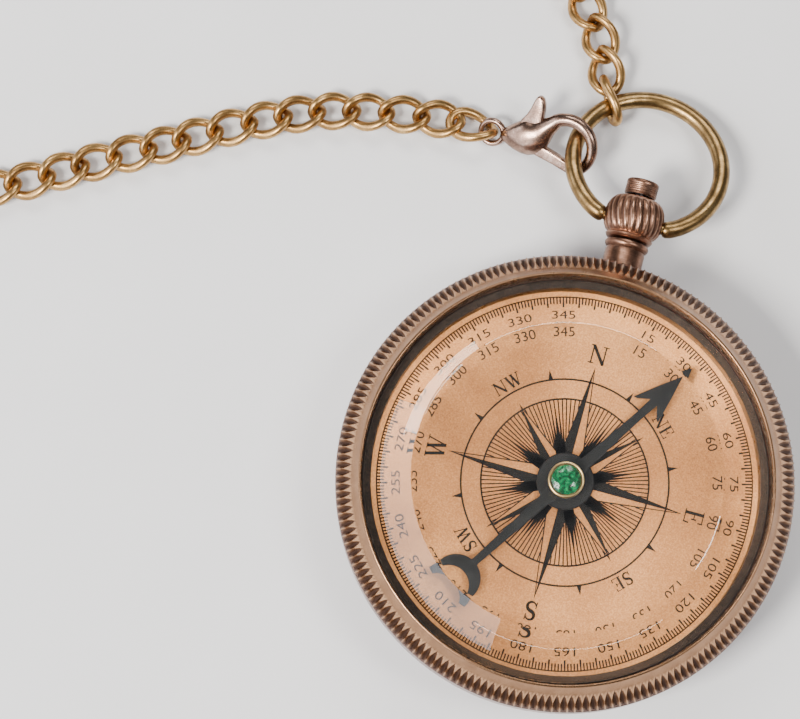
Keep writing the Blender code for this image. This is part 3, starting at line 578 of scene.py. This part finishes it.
# %% Gate
GATE_HALF_T = 0.65
GATE_REACH = 7.25
GATE_BOSS_R = 1.2
thumb_tab = [(1.45, 0.5), (1.5, 1.6), (1.62, 2.5), (1.66, 3.4), (1.74, 4.3), (1.70, 5.2), (1.45, 5.95),
             (1.0, 6.35), (0.55, 6.25), (0.22, 5.6), (-0.15, 4.6), (-0.65, 3.6), (-1.35, 2.7), (-1.75, 1.9)]
gate_mm = [*arc((0, 0), GATE_REACH, -31, -21, 4), (4.2, -1.35), (1.9, -0.5), *thumb_tab,
           *arc((0, 0), GATE_BOSS_R, 150, 250, 6), (1.2, -2.0), (3.6, -2.75)]
gate_bm = soften(slab(gate_mm, -GATE_HALF_T, GATE_HALF_T), 0.34, 50, 3)
GATE_FRAME = Matrix.Translation(joint_at["gate_open"]) @ CLASP_SLOPE @ CLASP_ROLL
add_piece("gate_lever", moved(gate_bm, GATE_FRAME), "gate", ["clasp_gate"], clasp_bronze, 60)

# %% [markdown]

# %% [markdown]
# ## The case
# The case is turned from a brass cup: a flat back, a broad rounded edge and a plain polished wall,
# which ends under the bezel. Only its outline matters, so it is spun once and its corners are eased.

# %% Case
CASE_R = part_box("case_cup")[1].x / MM
BACK_R = 23.0
BACK_ROUND_H = 8.0
RIM_Z = 11.9
EASE = 0.15
edge = [(BACK_R + (CASE_R - BACK_R) * x, BACK_ROUND_H * (1 + z)) for x, z in arc((0, 0), 1, -90, 0, 24)]
inside = [(28.4, RIM_Z), (28.4, 13.0), (27.2, 13.0), (27.2, RIM_Z), (26.5, RIM_Z), (26.5, 8.7), (24.8, 8.7),
          (24.8, 2.5), (23.8, 1.5), (0, 1.5)]
case_mm = [(0, 0), (12, 0), *edge, (CASE_R, 10.2), (CASE_R, RIM_Z - EASE), (CASE_R - EASE, RIM_Z), *inside]
add_piece("case_shell", turned(case_mm, 192), "case", ["case_cup"], case_copper)

# %% [markdown]
# ## The fluted bezel
# A cutter runs into the sloping face 190 times. Each cut is widest at the foot and runs out in a
# pointed arch, which leaves narrow ridges between the flutes. The ring is spun with six columns of
# points to a flute, and a formula sinks the points into the cut. It also stores how high each point
# stands, so that the finish can keep the flutes dark and the ridges bright.

# %% Bezel
FLUTES = 190
COLUMNS = 6
FLUTE_DEPTH = 0.42
FLUTE_STRAIGHT = 0.42
FLUTE_HALF_WIDTH = 0.46
FLUTED_FROM_R = 28.1
PLAIN_RELIEF = 0.78
band_foot = Vector((30.35, 12.4))
band_top = Vector((28.15, 14.75))
band_rows = [tuple(band_foot.lerp(band_top, i / 8)) for i in range(9)]
lip = [(27.36, 15.98), (27.27, 16.14), (27.14, 16.2), (27.02, 16.19), (26.93, 16.1), (26.9, 15.9)]
bezel_mm = [(28.7, 13.3), (28.7, 12.0), (29.9, 12.0), (30.28, 12.12), *band_rows, (27.95, 15.02),
            (27.6, 15.56), *lip, (26.9, 13.3)]
bezel_bm = turned(bezel_mm, FLUTES * COLUMNS)
relief = bezel_bm.verts.layers.float.new("relief")
inward = Vector((-0.773, -0.636))
for vertex in bezel_bm.verts:
    radius = math.hypot(vertex.co.x, vertex.co.y)
    climb = (vertex.co.z / MM - band_foot.y) / (band_top.y - band_foot.y)
    across = (math.atan2(vertex.co.y, vertex.co.x) / math.tau * FLUTES + 0.5) % 1.0 - 0.5
    run_out = max(0.0, (climb - FLUTE_STRAIGHT) / (1 - FLUTE_STRAIGHT))
    half_width = FLUTE_HALF_WIDTH * max(0.0, 1 - run_out ** 1.7)
    on_face = -0.14 < climb < 1.0 and radius > FLUTED_FROM_R * MM
    sunk = 0.0
    if on_face and abs(across) < half_width:
        sunk = (1 - (across / half_width) ** 2) * (1 - run_out ** 2)
    vertex[relief] = 1.0 - sunk if on_face else PLAIN_RELIEF
    if sunk:
        fresh = radius + inward.x * FLUTE_DEPTH * sunk * MM
        vertex.co.x *= fresh / radius
        vertex.co.y *= fresh / radius
        vertex.co.z += inward.y * FLUTE_DEPTH * sunk * MM
add_piece("fluted_bezel", bezel_bm, "case", ["bezel_ring"], fluted_copper, 50)

# %% [markdown]
# ## The pendant
# A short neck screws into the case, and a ball with slanting grooves screws on to it. The button comes
# out of the ball's end. All three are turned, and the ball's grooves are pressed in by a formula.

# %% Neck, ball and button
neck_mm = [(0, 27.6), (2.7, 27.6), (2.7, 32.6), (2.62, 32.75), (2.62, 32.9), (2.75, 33.05), (2.95, 33.3),
           (3.0, 33.6), (2.9, 33.85), (2.6, 34.0), (0, 34.0)]
add_piece("threaded_neck", moved(turned(neck_mm, 72), PENDANT_FRAME), "case", ["pendant_neck"],
          pendant_copper)
BALL_GROOVES = 24
GROOVE_DEPTH = 0.26
GROOVE_SLANT = 0.22
ball_line = [(3.0, 34.3), (3.25, 34.7), (3.05, 35.0), (3.5, 35.35), (3.78, 35.8), (3.97, 36.4), (4.07, 37.1),
             (4.1, 37.7), (4.04, 38.3), (3.87, 38.9), (3.62, 39.4), (3.3, 39.8), (3.0, 40.05), (2.7, 40.15)]
ball_mm = [(0, 34.25), (2.6, 34.2), *ball_line, (2.5, 40.1), (2.5, 39.0), (0, 39.0)]
ball_bm = turned(ball_mm, BALL_GROOVES * 8)
relief = ball_bm.verts.layers.float.new("relief")
for vertex in ball_bm.verts:
    radius = math.hypot(vertex.co.x, vertex.co.y)
    height = vertex.co.z / MM
    fade = max(0.0, min(1.0, (height - 35.1) / 0.5, (39.9 - height) / 0.7)) if radius > 2.55 * MM else 0.0
    turn = math.atan2(vertex.co.y, vertex.co.x) / math.tau * BALL_GROOVES + GROOVE_SLANT * (height - 37.5)
    wave = (0.5 + 0.5 * math.cos(math.tau * turn)) ** 1.4
    vertex[relief] = 0.85 - 0.8 * wave * fade
    if fade:
        vertex.co.x *= 1 - GROOVE_DEPTH * MM * wave * fade / radius
        vertex.co.y *= 1 - GROOVE_DEPTH * MM * wave * fade / radius
add_piece("grooved_ball", moved(ball_bm, PENDANT_FRAME), "case", ["pendant_ball"],
          ball_copper, 60)
button_side = [(2.2 - 0.06 * (i % 2), 40.85 + 0.13 * i) for i in range(11)]
button_mm = [(0, 42.0), (1.75, 42.0), (1.75, 40.6), (2.05, 40.6), *button_side, (2.2, 42.35), (2.18, 42.55),
             (2.05, 42.68), (1.7, 42.7), (1.5, 42.66), (0, 42.62)]
add_piece("push_button", moved(turned(button_mm, 72), PENDANT_FRAME), "button", ["button_cap"],
          pendant_copper)

# %% [markdown]
# ## The needle
# The needle is stamped from thin sheet and painted matt black: a barbed arrow for north and a crescent
# for south. Its hub disc hides the bearing, and a small brass cup on top holds a green faceted stone.

# %% Needle
NEEDLE_TIP = 21.0
NEEDLE_TAIL = 19.3
black_paint, tree, shader = new_finish("black_paint", 0.0)
where = node(tree, "TexCoord").outputs["Object"]
specks = noise(tree, where, 0.12, 3.0)
tree.links.new(ramp(tree, specks, [(0.3, (0.002, 0.002, 0.002)), (0.7, (0.010, 0.009, 0.009))]),
               shader.inputs["Base Color"])
spread = {"Value": specks, "To Min": 0.42, "To Max": 0.62}
tree.links.new(node(tree, "MapRange", spread).outputs["Result"], shader.inputs["Roughness"])
shader.inputs["Specular IOR Level"].default_value = 0.14
bump = node(tree, "Bump", {"Height": specks, "Strength": 0.3, "Distance": 0.02 * MM})
tree.links.new(bump.outputs["Normal"], shader.inputs["Normal"])

half = [(0, NEEDLE_TIP), (1.15, 17.9), (2.35, 14.3), (1.9, 14.45), (0.62, 15.7), (0.55, 13.0), (0.78, 3.4),
        *arc((0, 0), 2.3, 60, -60, 8), (0.8, -4.0), (0.5, -15.9), *arc((0, -NEEDLE_TAIL), 3.2, 80, 4, 10),
        (3.2, -NEEDLE_TAIL), *arc((0, -NEEDLE_TAIL - 1.3), 2.6, 24, 90, 8)]
needle_mm = half + [(-x, y) for x, y in reversed(half[1:-1])]
blade_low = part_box("needle_blade")[0].z / MM
needle_bm = soften(slab(needle_mm, blade_low, blade_low + 0.2), 0.04, 50, 2)
add_piece("barbed_needle", moved(needle_bm, NEEDLE_FRAME), "needle", ["needle_blade"],
          black_paint)
hub_mm = [(1.3, 10.2), (3.7, 10.2), (3.8, 10.28), (3.8, 10.42), (3.65, 10.55), (1.3, 10.55)]
add_piece("hub_disc", turned(hub_mm, 96), "needle", ["needle_hub"], black_paint)

# %% [markdown]
# The cup is turned, and the stone is cut like a gem: a table, a row of facets, a girdle and a point
# below. A convex hull round rings of points gives every facet at once.

# %% Cup and stone
cup_mm = [(0, 11.15), (2.0, 11.15), (2.3, 11.3), (2.4, 11.5), (2.4, 12.2), (2.34, 12.36), (2.24, 12.4),
          (2.13, 12.34), (2.08, 12.1), (2.08, 11.4), (0, 11.4)]
add_piece("stone_cup", turned(cup_mm, 80), "needle", ["jewel_cup"], inner_brass)
green_glass, tree, shader = new_finish("green_glass", 0.0)
where = node(tree, "TexCoord").outputs["Object"]
depths = noise(tree, where, 0.5, 4.0)
greens = [(0.35, (0.001, 0.015, 0.005)), (0.55, (0.002, 0.065, 0.022)), (0.75, (0.012, 0.22, 0.075))]
tree.links.new(ramp(tree, depths, greens), shader.inputs["Base Color"])
shader.inputs["Roughness"].default_value = 0.06
shader.inputs["IOR"].default_value = 1.65
stone_bm = bmesh.new()
STONE_RINGS = [(8, 1.05, 12.55, 0.0), (8, 1.55, 12.42, 22.5), (16, 1.98, 12.2, 0.0), (16, 1.98, 12.1, 0.0),
               (8, 1.0, 11.62, 22.5), (1, 0.0, 11.55, 0.0)]
for count, radius, height, turn_deg in STONE_RINGS:
    for i in range(count):
        angle = math.radians(turn_deg) + math.tau * i / count
        stone_bm.verts.new((radius * MM * math.cos(angle), radius * MM * math.sin(angle), height * MM))
hull = bmesh.ops.convex_hull(stone_bm, input=stone_bm.verts[:])
bmesh.ops.delete(stone_bm, geom=hull["geom_interior"], context="VERTS")
add_piece("faceted_stone", stone_bm, "needle", ["green_stone"], green_glass, 3)

# %% [markdown]
# ## The dial
# The dial is a thin plate with a fine, sandy copper finish, and the print is black. Print has almost no
# thickness, so the ink stands only 0.02 mm above the plate, and starts just inside it. That is enough
# for real shapes with crisp edges, and too thin to show a shadow. The ticks are made once and spun
# with copies.

# %% Dial finish
DIAL_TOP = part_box("dial_plate")[1].z / MM
dial_copper, tree, shader = new_finish("dial_copper", 0.78)
where = node(tree, "TexCoord").outputs["Object"]
grain = noise(tree, where, 0.22, 5.0, 0.7)
clouds = noise(tree, where, 14.0, 2.0)
tone = node(tree, "Mix", {"Factor": 0.35, "A": grain, "B": clouds}).outputs["Result"]
coppers = [(0.33, (0.27, 0.098, 0.028)), (0.50, (0.45, 0.185, 0.060)), (0.68, (0.70, 0.33, 0.125))]
tree.links.new(ramp(tree, tone, coppers), shader.inputs["Base Color"])
spread = {"Value": clouds, "From Min": 0.3, "From Max": 0.7, "To Min": 0.36, "To Max": 0.48}
tree.links.new(node(tree, "MapRange", spread).outputs["Result"], shader.inputs["Roughness"])
bump = node(tree, "Bump", {"Height": grain, "Strength": 0.35, "Distance": 0.02 * MM})
tree.links.new(bump.outputs["Normal"], shader.inputs["Normal"])

ink = mottled("dial_ink", (0.002, 0.002, 0.002), (0.009, 0.007, 0.006), 0.3, 0.5, 0.08)

# %% Scales, rings and rose
INK_LOW = DIAL_TOP - 0.01
INK_HIGH = DIAL_TOP + 0.02
RING_R = 23.0
print_bm = bmesh.new()


def ink_shape(outline_mm, turn_deg=0.0, copies=1):
    """Print a flat outline, turned clockwise from north, and again at equal steps round the dial."""
    shape = slab(outline_mm, INK_LOW, INK_HIGH)
    moved(shape, Matrix.Rotation(math.radians(-turn_deg), 4, "Z"))
    if copies > 1:
        axis = {"cent": (0, 0, 0), "axis": (0, 0, 1)}
        geom = shape.verts[:] + shape.edges[:] + shape.faces[:]
        bmesh.ops.spin(shape, geom=geom, **axis, angle=-math.tau * (copies - 1) / copies, steps=copies - 1,
                       use_duplicate=True)
    joined(print_bm, shape)


def ink_line(start_r, end_r, width, turn_deg=0.0, copies=1):
    """Print a radial line."""
    half_width = width / 2
    box_mm = [(-half_width, start_r), (half_width, start_r), (half_width, end_r), (-half_width, end_r)]
    ink_shape(box_mm, turn_deg, copies)


def ink_ring(radius, width):
    """Print a circle."""
    low, high = radius - width / 2, radius + width / 2
    outline = [(low, INK_LOW), (high, INK_LOW), (high, INK_HIGH), (low, INK_HIGH)]
    joined(print_bm, turned(outline, 240))


ink_ring(RING_R, 0.2)
ink_line(RING_R - 1.1, RING_R, 0.18, 0.0, 360)
ink_line(RING_R - 1.65, RING_R - 1.0, 0.22, 0.0, 72)

ROSE_OUTER_R = 13.75
ROSE_INNER_R = 11.1
ink_ring(ROSE_OUTER_R, 0.24)
ink_ring(ROSE_INNER_R, 0.24)
for quarter in range(4):
    for offset in (22.5, 67.5):
        marker = [(-0.33, ROSE_OUTER_R), (0.33, ROSE_OUTER_R), (0.0, ROSE_OUTER_R + 1.35)]
        ink_shape(marker, 90 * quarter + offset)

# %% [markdown]
# The rose has four long points, four shorter ones between them, and eight bunches of thin spikes. Each
# point is split down its middle: one half is solid and the other is only outlined. The fine lines behind
# stop where they meet a point, and a small formula finds that place.

# %% Rose points
CARDINAL = {"tip": 16.0, "waist": 1.55, "waist_r": 3.6}
BETWEEN = {"tip": 12.1, "waist": 1.25, "waist_r": 3.7}
SPIKES = [(0.0, 0.42, 10.2), (6.4, 0.26, 7.6), (-6.4, 0.26, 7.6), (3.6, 0.25, 8.8), (-3.6, 0.25, 8.8)]
SPIKE_START_R = 3.7
OUTLINE = 0.2
OUTLINE_TIP = 0.9


def rose_point(shape, turn_deg):
    """One half solid, and the other half as an outline of even width."""
    tip = (0.0, shape["tip"])
    waist = (shape["waist"], shape["waist_r"])
    ink_shape([(0.0, 0.0), (-waist[0], waist[1]), tip][::-1], turn_deg)
    across = Vector((waist[0], waist[1])) - Vector(tip)
    inset = across.orthogonal().normalized() * OUTLINE
    if inset.x > 0:
        inset = -inset
    inner_tip = (0.0, shape["tip"] - OUTLINE_TIP)
    ink_shape([tip, waist, (waist[0] + inset.x, waist[1] + inset.y), inner_tip][::-1], turn_deg)


def reach(shape, away_deg):
    """How far out a point of the rose covers a line that is away_deg from its middle."""
    away = math.radians(min(away_deg, 360 - away_deg))
    tip = Vector((0, shape["tip"]))
    waist = Vector((shape["waist"], shape["waist_r"]))
    heading = Vector((math.sin(away), math.cos(away)))
    if away > math.atan2(waist.x, waist.y):
        return 0.0
    edge_run = waist - tip
    return (tip.x * edge_run.y - tip.y * edge_run.x) / (heading.x * edge_run.y - heading.y * edge_run.x)


for quarter in range(4):
    rose_point(BETWEEN, 90 * quarter + 45)
    rose_point(CARDINAL, 90 * quarter)
    for middle in (22.5, 67.5):
        for aside, foot, tip in SPIKES:
            spike = [(-foot, SPIKE_START_R), (foot, SPIKE_START_R), (0.0, tip)]
            ink_shape(spike, 90 * quarter + middle + aside)
LINES = 120
HUB_COVER_R = 3.5
for i in range(LINES):
    turn_deg = (i + 0.5) * 360 / LINES
    start_r = HUB_COVER_R
    for k in range(4):
        start_r = max(start_r, reach(CARDINAL, abs(turn_deg - 90 * k)))
        start_r = max(start_r, reach(BETWEEN, abs(turn_deg - 90 * k - 45)))
    if start_r < ROSE_INNER_R - 0.3:
        ink_line(start_r, ROSE_INNER_R, 0.16, turn_deg)

# %% [markdown]
# ## The dial's figures
# Figures stand every 15 degrees with their feet towards the middle. A text object makes each one. It
# becomes a mesh before it is sized and placed, so that its height is the printed height and not the
# font's own measure.


# %% Figures
def text_mesh(text, height_mm):
    """Text as a solid mesh, centred on the origin, with the wanted height."""
    data = bpy.data.curves.new("text", "FONT")
    data.body = text
    data.extrude = 0.5
    data.resolution_u = 5
    source = bpy.data.objects.new("text", data)
    bpy.context.scene.collection.objects.link(source)
    bpy.context.view_layer.update()
    mesh = bpy.data.meshes.new_from_object(source.evaluated_get(bpy.context.evaluated_depsgraph_get()))
    bpy.data.objects.remove(source)
    bm = bmesh.new()
    bm.from_mesh(mesh)
    bmesh.ops.remove_doubles(bm, verts=bm.verts[:], dist=1e-5)
    xs = [v.co.x for v in bm.verts]
    ys = [v.co.y for v in bm.verts]
    scale = height_mm * MM / (max(ys) - min(ys))
    thick = (INK_HIGH - INK_LOW) * MM
    middle = Vector((-(min(xs) + max(xs)) / 2, -(min(ys) + max(ys)) / 2, 0))
    bmesh.ops.translate(bm, verts=bm.verts[:], vec=middle)
    bmesh.ops.scale(bm, verts=bm.verts[:], vec=(scale, scale, thick))
    bmesh.ops.translate(bm, verts=bm.verts[:], vec=(0, 0, (INK_LOW + INK_HIGH) / 2 * MM))
    return bm


def ink_text(text, bearing_deg, radius, height, stretch=1.0):
    """Print text at a bearing, its feet towards the middle."""
    place = Matrix.Rotation(math.radians(-bearing_deg), 4, "Z") @ Matrix.Translation((0, radius * MM, 0))
    joined(print_bm, moved(text_mesh(text, height), place @ Matrix.Diagonal((stretch, 1, 1, 1))))


for bearing in range(15, 360, 15):
    ink_text(str(bearing), bearing, 20.15, 1.32, 1.08)

# %% [markdown]
# The letters have thick and thin strokes with small feet, as engraved ones do. Each is a list of
# strokes in a box one unit high, and every stroke becomes a thin strip of ink.

# %% Letters
THICK = 0.17
THIN = 0.075
FOOT = 0.055
LOW, HIGH = 0.02, 0.98
LETTERS = {
    "N": (0.86, [(0.10, 0.0, 0.10, 1.0, THIN), (0.76, 0.0, 0.76, 1.0, THIN), (0.10, 0.96, 0.76, 0.03, THICK),
                 (-0.04, LOW, 0.24, LOW, FOOT), (-0.04, HIGH, 0.17, HIGH, FOOT),
                 (0.62, HIGH, 0.90, HIGH, FOOT)]),
    "E": (0.70, [(0.16, 0.0, 0.16, 1.0, THICK), (0.0, LOW, 0.66, LOW, FOOT), (0.0, HIGH, 0.62, HIGH, FOOT),
                 (0.16, 0.52, 0.48, 0.52, FOOT), (0.66, 0.0, 0.69, 0.25, THIN), (0.62, 1.0, 0.63, 0.78, THIN),
                 (0.48, 0.40, 0.48, 0.64, THIN)]),
    "W": (1.14, [(0.12, HIGH, 0.38, LOW, THICK), (0.38, LOW, 0.60, 0.92, THIN),
                 (0.56, HIGH, 0.80, LOW, THICK), (0.80, LOW, 1.04, HIGH, THIN),
                 (-0.02, HIGH, 0.26, HIGH, FOOT), (0.44, HIGH, 0.70, HIGH, FOOT),
                 (0.92, HIGH, 1.16, HIGH, FOOT)]),
    "S": (0.62, []),
}
bowl = arc((0.31, 0.745), 0.225, 25, 250, 10) + arc((0.31, 0.255), 0.235, 70, -155, 10)
for k, (start, end) in enumerate(zip(bowl, bowl[1:])):
    middle_weight = 1 - abs(k - 10) / 10
    LETTERS["S"][1].append((*start, *end, THIN + (THICK + 0.03 - THIN) * middle_weight))
LETTERS["S"][1].extend([(0.53, 0.70, 0.55, 1.0, FOOT), (0.06, 0.0, 0.08, 0.32, FOOT)])


def ink_letters(word, bearing_deg, radius, height):
    """Print capital letters at a bearing, their feet towards the middle."""
    gap = 0.16
    start = -(sum(LETTERS[letter][0] for letter in word) + gap * (len(word) - 1)) / 2
    for letter in word:
        width, strokes = LETTERS[letter]
        for x0, y0, x1, y1, weight in strokes:
            run = Vector((x1 - x0, y1 - y0)).normalized()
            side = run.orthogonal() * weight / 2
            lap = run * 0.02
            a, b = Vector((start + x0, y0 - 0.5)) - lap, Vector((start + x1, y1 - 0.5)) + lap
            strip = [a + side, a - side, b - side, b + side]
            ink_shape([(v.x * height, v.y * height + radius) for v in strip], bearing_deg)
        start += width + gap


for letter, bearing in (("N", 0), ("E", 90), ("S", 180), ("W", 270)):
    ink_letters(letter, bearing, 17.6, 2.5)
for word, bearing in (("NE", 45), ("SE", 135), ("SW", 225), ("NW", 315)):
    ink_letters(word, bearing, 15.1, 1.75)
add_piece("dial_print", print_bm, "case", [], ink, 40)

# %% [markdown]
# ## The glass
# The glass is thick, with a flat table and a broad bevel that is ground down into the bezel. The bevel
# bends the view, so the outer figures show twice, as they do through a real one. The index is that of
# a dense, lead-rich glass, which bends the view more than window glass. Light from lamps is let
# straight through, so that the dial isn't dark under it; everything else is plain glass.

# %% Glass
GLASS_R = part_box("glass_lens")[1].x / MM
GLASS_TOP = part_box("glass_lens")[1].z / MM
GLASS_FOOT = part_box("glass_lens")[0].z / MM
GLASS_TABLE_R = 20.4
clear_glass, tree, shader = new_finish("clear_glass", 0.0)
shader.inputs["Base Color"].default_value = (0.97, 0.985, 0.98, 1.0)
shader.inputs["Roughness"].default_value = 0.0
shader.inputs["IOR"].default_value = 1.72
shader.inputs["Transmission Weight"].default_value = 1.0
where = node(tree, "TexCoord").outputs["Object"]
bump = node(tree, "Bump", {"Height": noise(tree, where, 6.0, 2.0), "Strength": 0.05, "Distance": 0.05 * MM})
tree.links.new(bump.outputs["Normal"], shader.inputs["Normal"])
through = node(tree, "BsdfTransparent", {"Color": (0.93, 0.95, 0.94, 1.0)})
shadow_ray = node(tree, "LightPath").outputs["Is Shadow Ray"]
mixed = node(tree, "MixShader", {0: shadow_ray, 1: shader.outputs["BSDF"], 2: through.outputs["BSDF"]})
tree.links.new(mixed.outputs["Shader"], tree.nodes["Material Output"].inputs["Surface"])
glass_mm = [(0, GLASS_FOOT), (GLASS_R - 0.1, GLASS_FOOT), (GLASS_R, GLASS_FOOT + 0.1), (GLASS_R, 13.3),
            (GLASS_R - 0.06, 13.43), (GLASS_TABLE_R + 0.08, GLASS_TOP - 0.04),
            (GLASS_TABLE_R - 0.06, GLASS_TOP), (0, GLASS_TOP)]
add_piece("bevelled_glass", turned(glass_mm, 240), "case", ["glass_lens"], clear_glass, 12)

# %% [markdown]
# ## Parts that keep their own shape
# The parts inside are plain turned and stamped pieces, and the frame's own shapes are right for them.
# They only need their finishes.

# %% Finishes for the frame's parts
red_jewel = mottled("red_jewel", (0.20, 0.01, 0.03), (0.45, 0.04, 0.09), 0.4, 0.12)
seal_rubber = mottled("seal_rubber", (0.006, 0.004, 0.003), (0.022, 0.012, 0.008), 0.3, 0.6, 0.15)
FINISHES = {
    # The dial ring takes the near-black metal, which paints the shade in the bore.
    "dial_plate": dial_copper, "dial_ring": painted_shade_bore, "glass_gasket": seal_rubber,
    "pivot_post": inner_brass,
    "pivot_pin": cut_steel, "bearing_jewel": red_jewel, "push_rod": cut_steel, "rod_cross_pin": cut_steel,
    "button_spring": cut_steel, "arrest_lever": inner_brass, "lever_bracket": inner_brass,
    "lever_pin": cut_steel, "lever_spring": cut_steel, "bracket_screw_1": cut_steel,
    "bracket_screw_2": cut_steel, "gate_pin": clasp_bronze, "gate_spring": cut_steel,
}
for name, finish in FINISHES.items():
    materials = frame["nodes"][name].data.materials
    materials.clear()
    materials.append(finish)
print("parts with a finish of their own:", len(FINISHES))

# %% [markdown]
# ## The table
# A plain pale floor lies just under the case, far larger than the view.

# %% Floor
FLOOR_HALF_SIZE = 2.0
FLOOR_GAP = 0.05
pale = mottled("pale_floor", (0.80, 0.80, 0.81), (0.84, 0.84, 0.85), 30.0, 0.8)
floor_bm = bmesh.new()
bmesh.ops.create_grid(floor_bm, x_segments=1, y_segments=1, size=FLOOR_HALF_SIZE)
bmesh.ops.translate(floor_bm, verts=floor_bm.verts[:], vec=(0, 0, -FLOOR_GAP * MM))
floor_mesh = bpy.data.meshes.new("floor")
floor_bm.to_mesh(floor_mesh)
floor_bm.free()
floor_mesh.materials.append(pale)
floor = bpy.data.objects.new("floor", floor_mesh)
bpy.context.scene.collection.objects.link(floor)
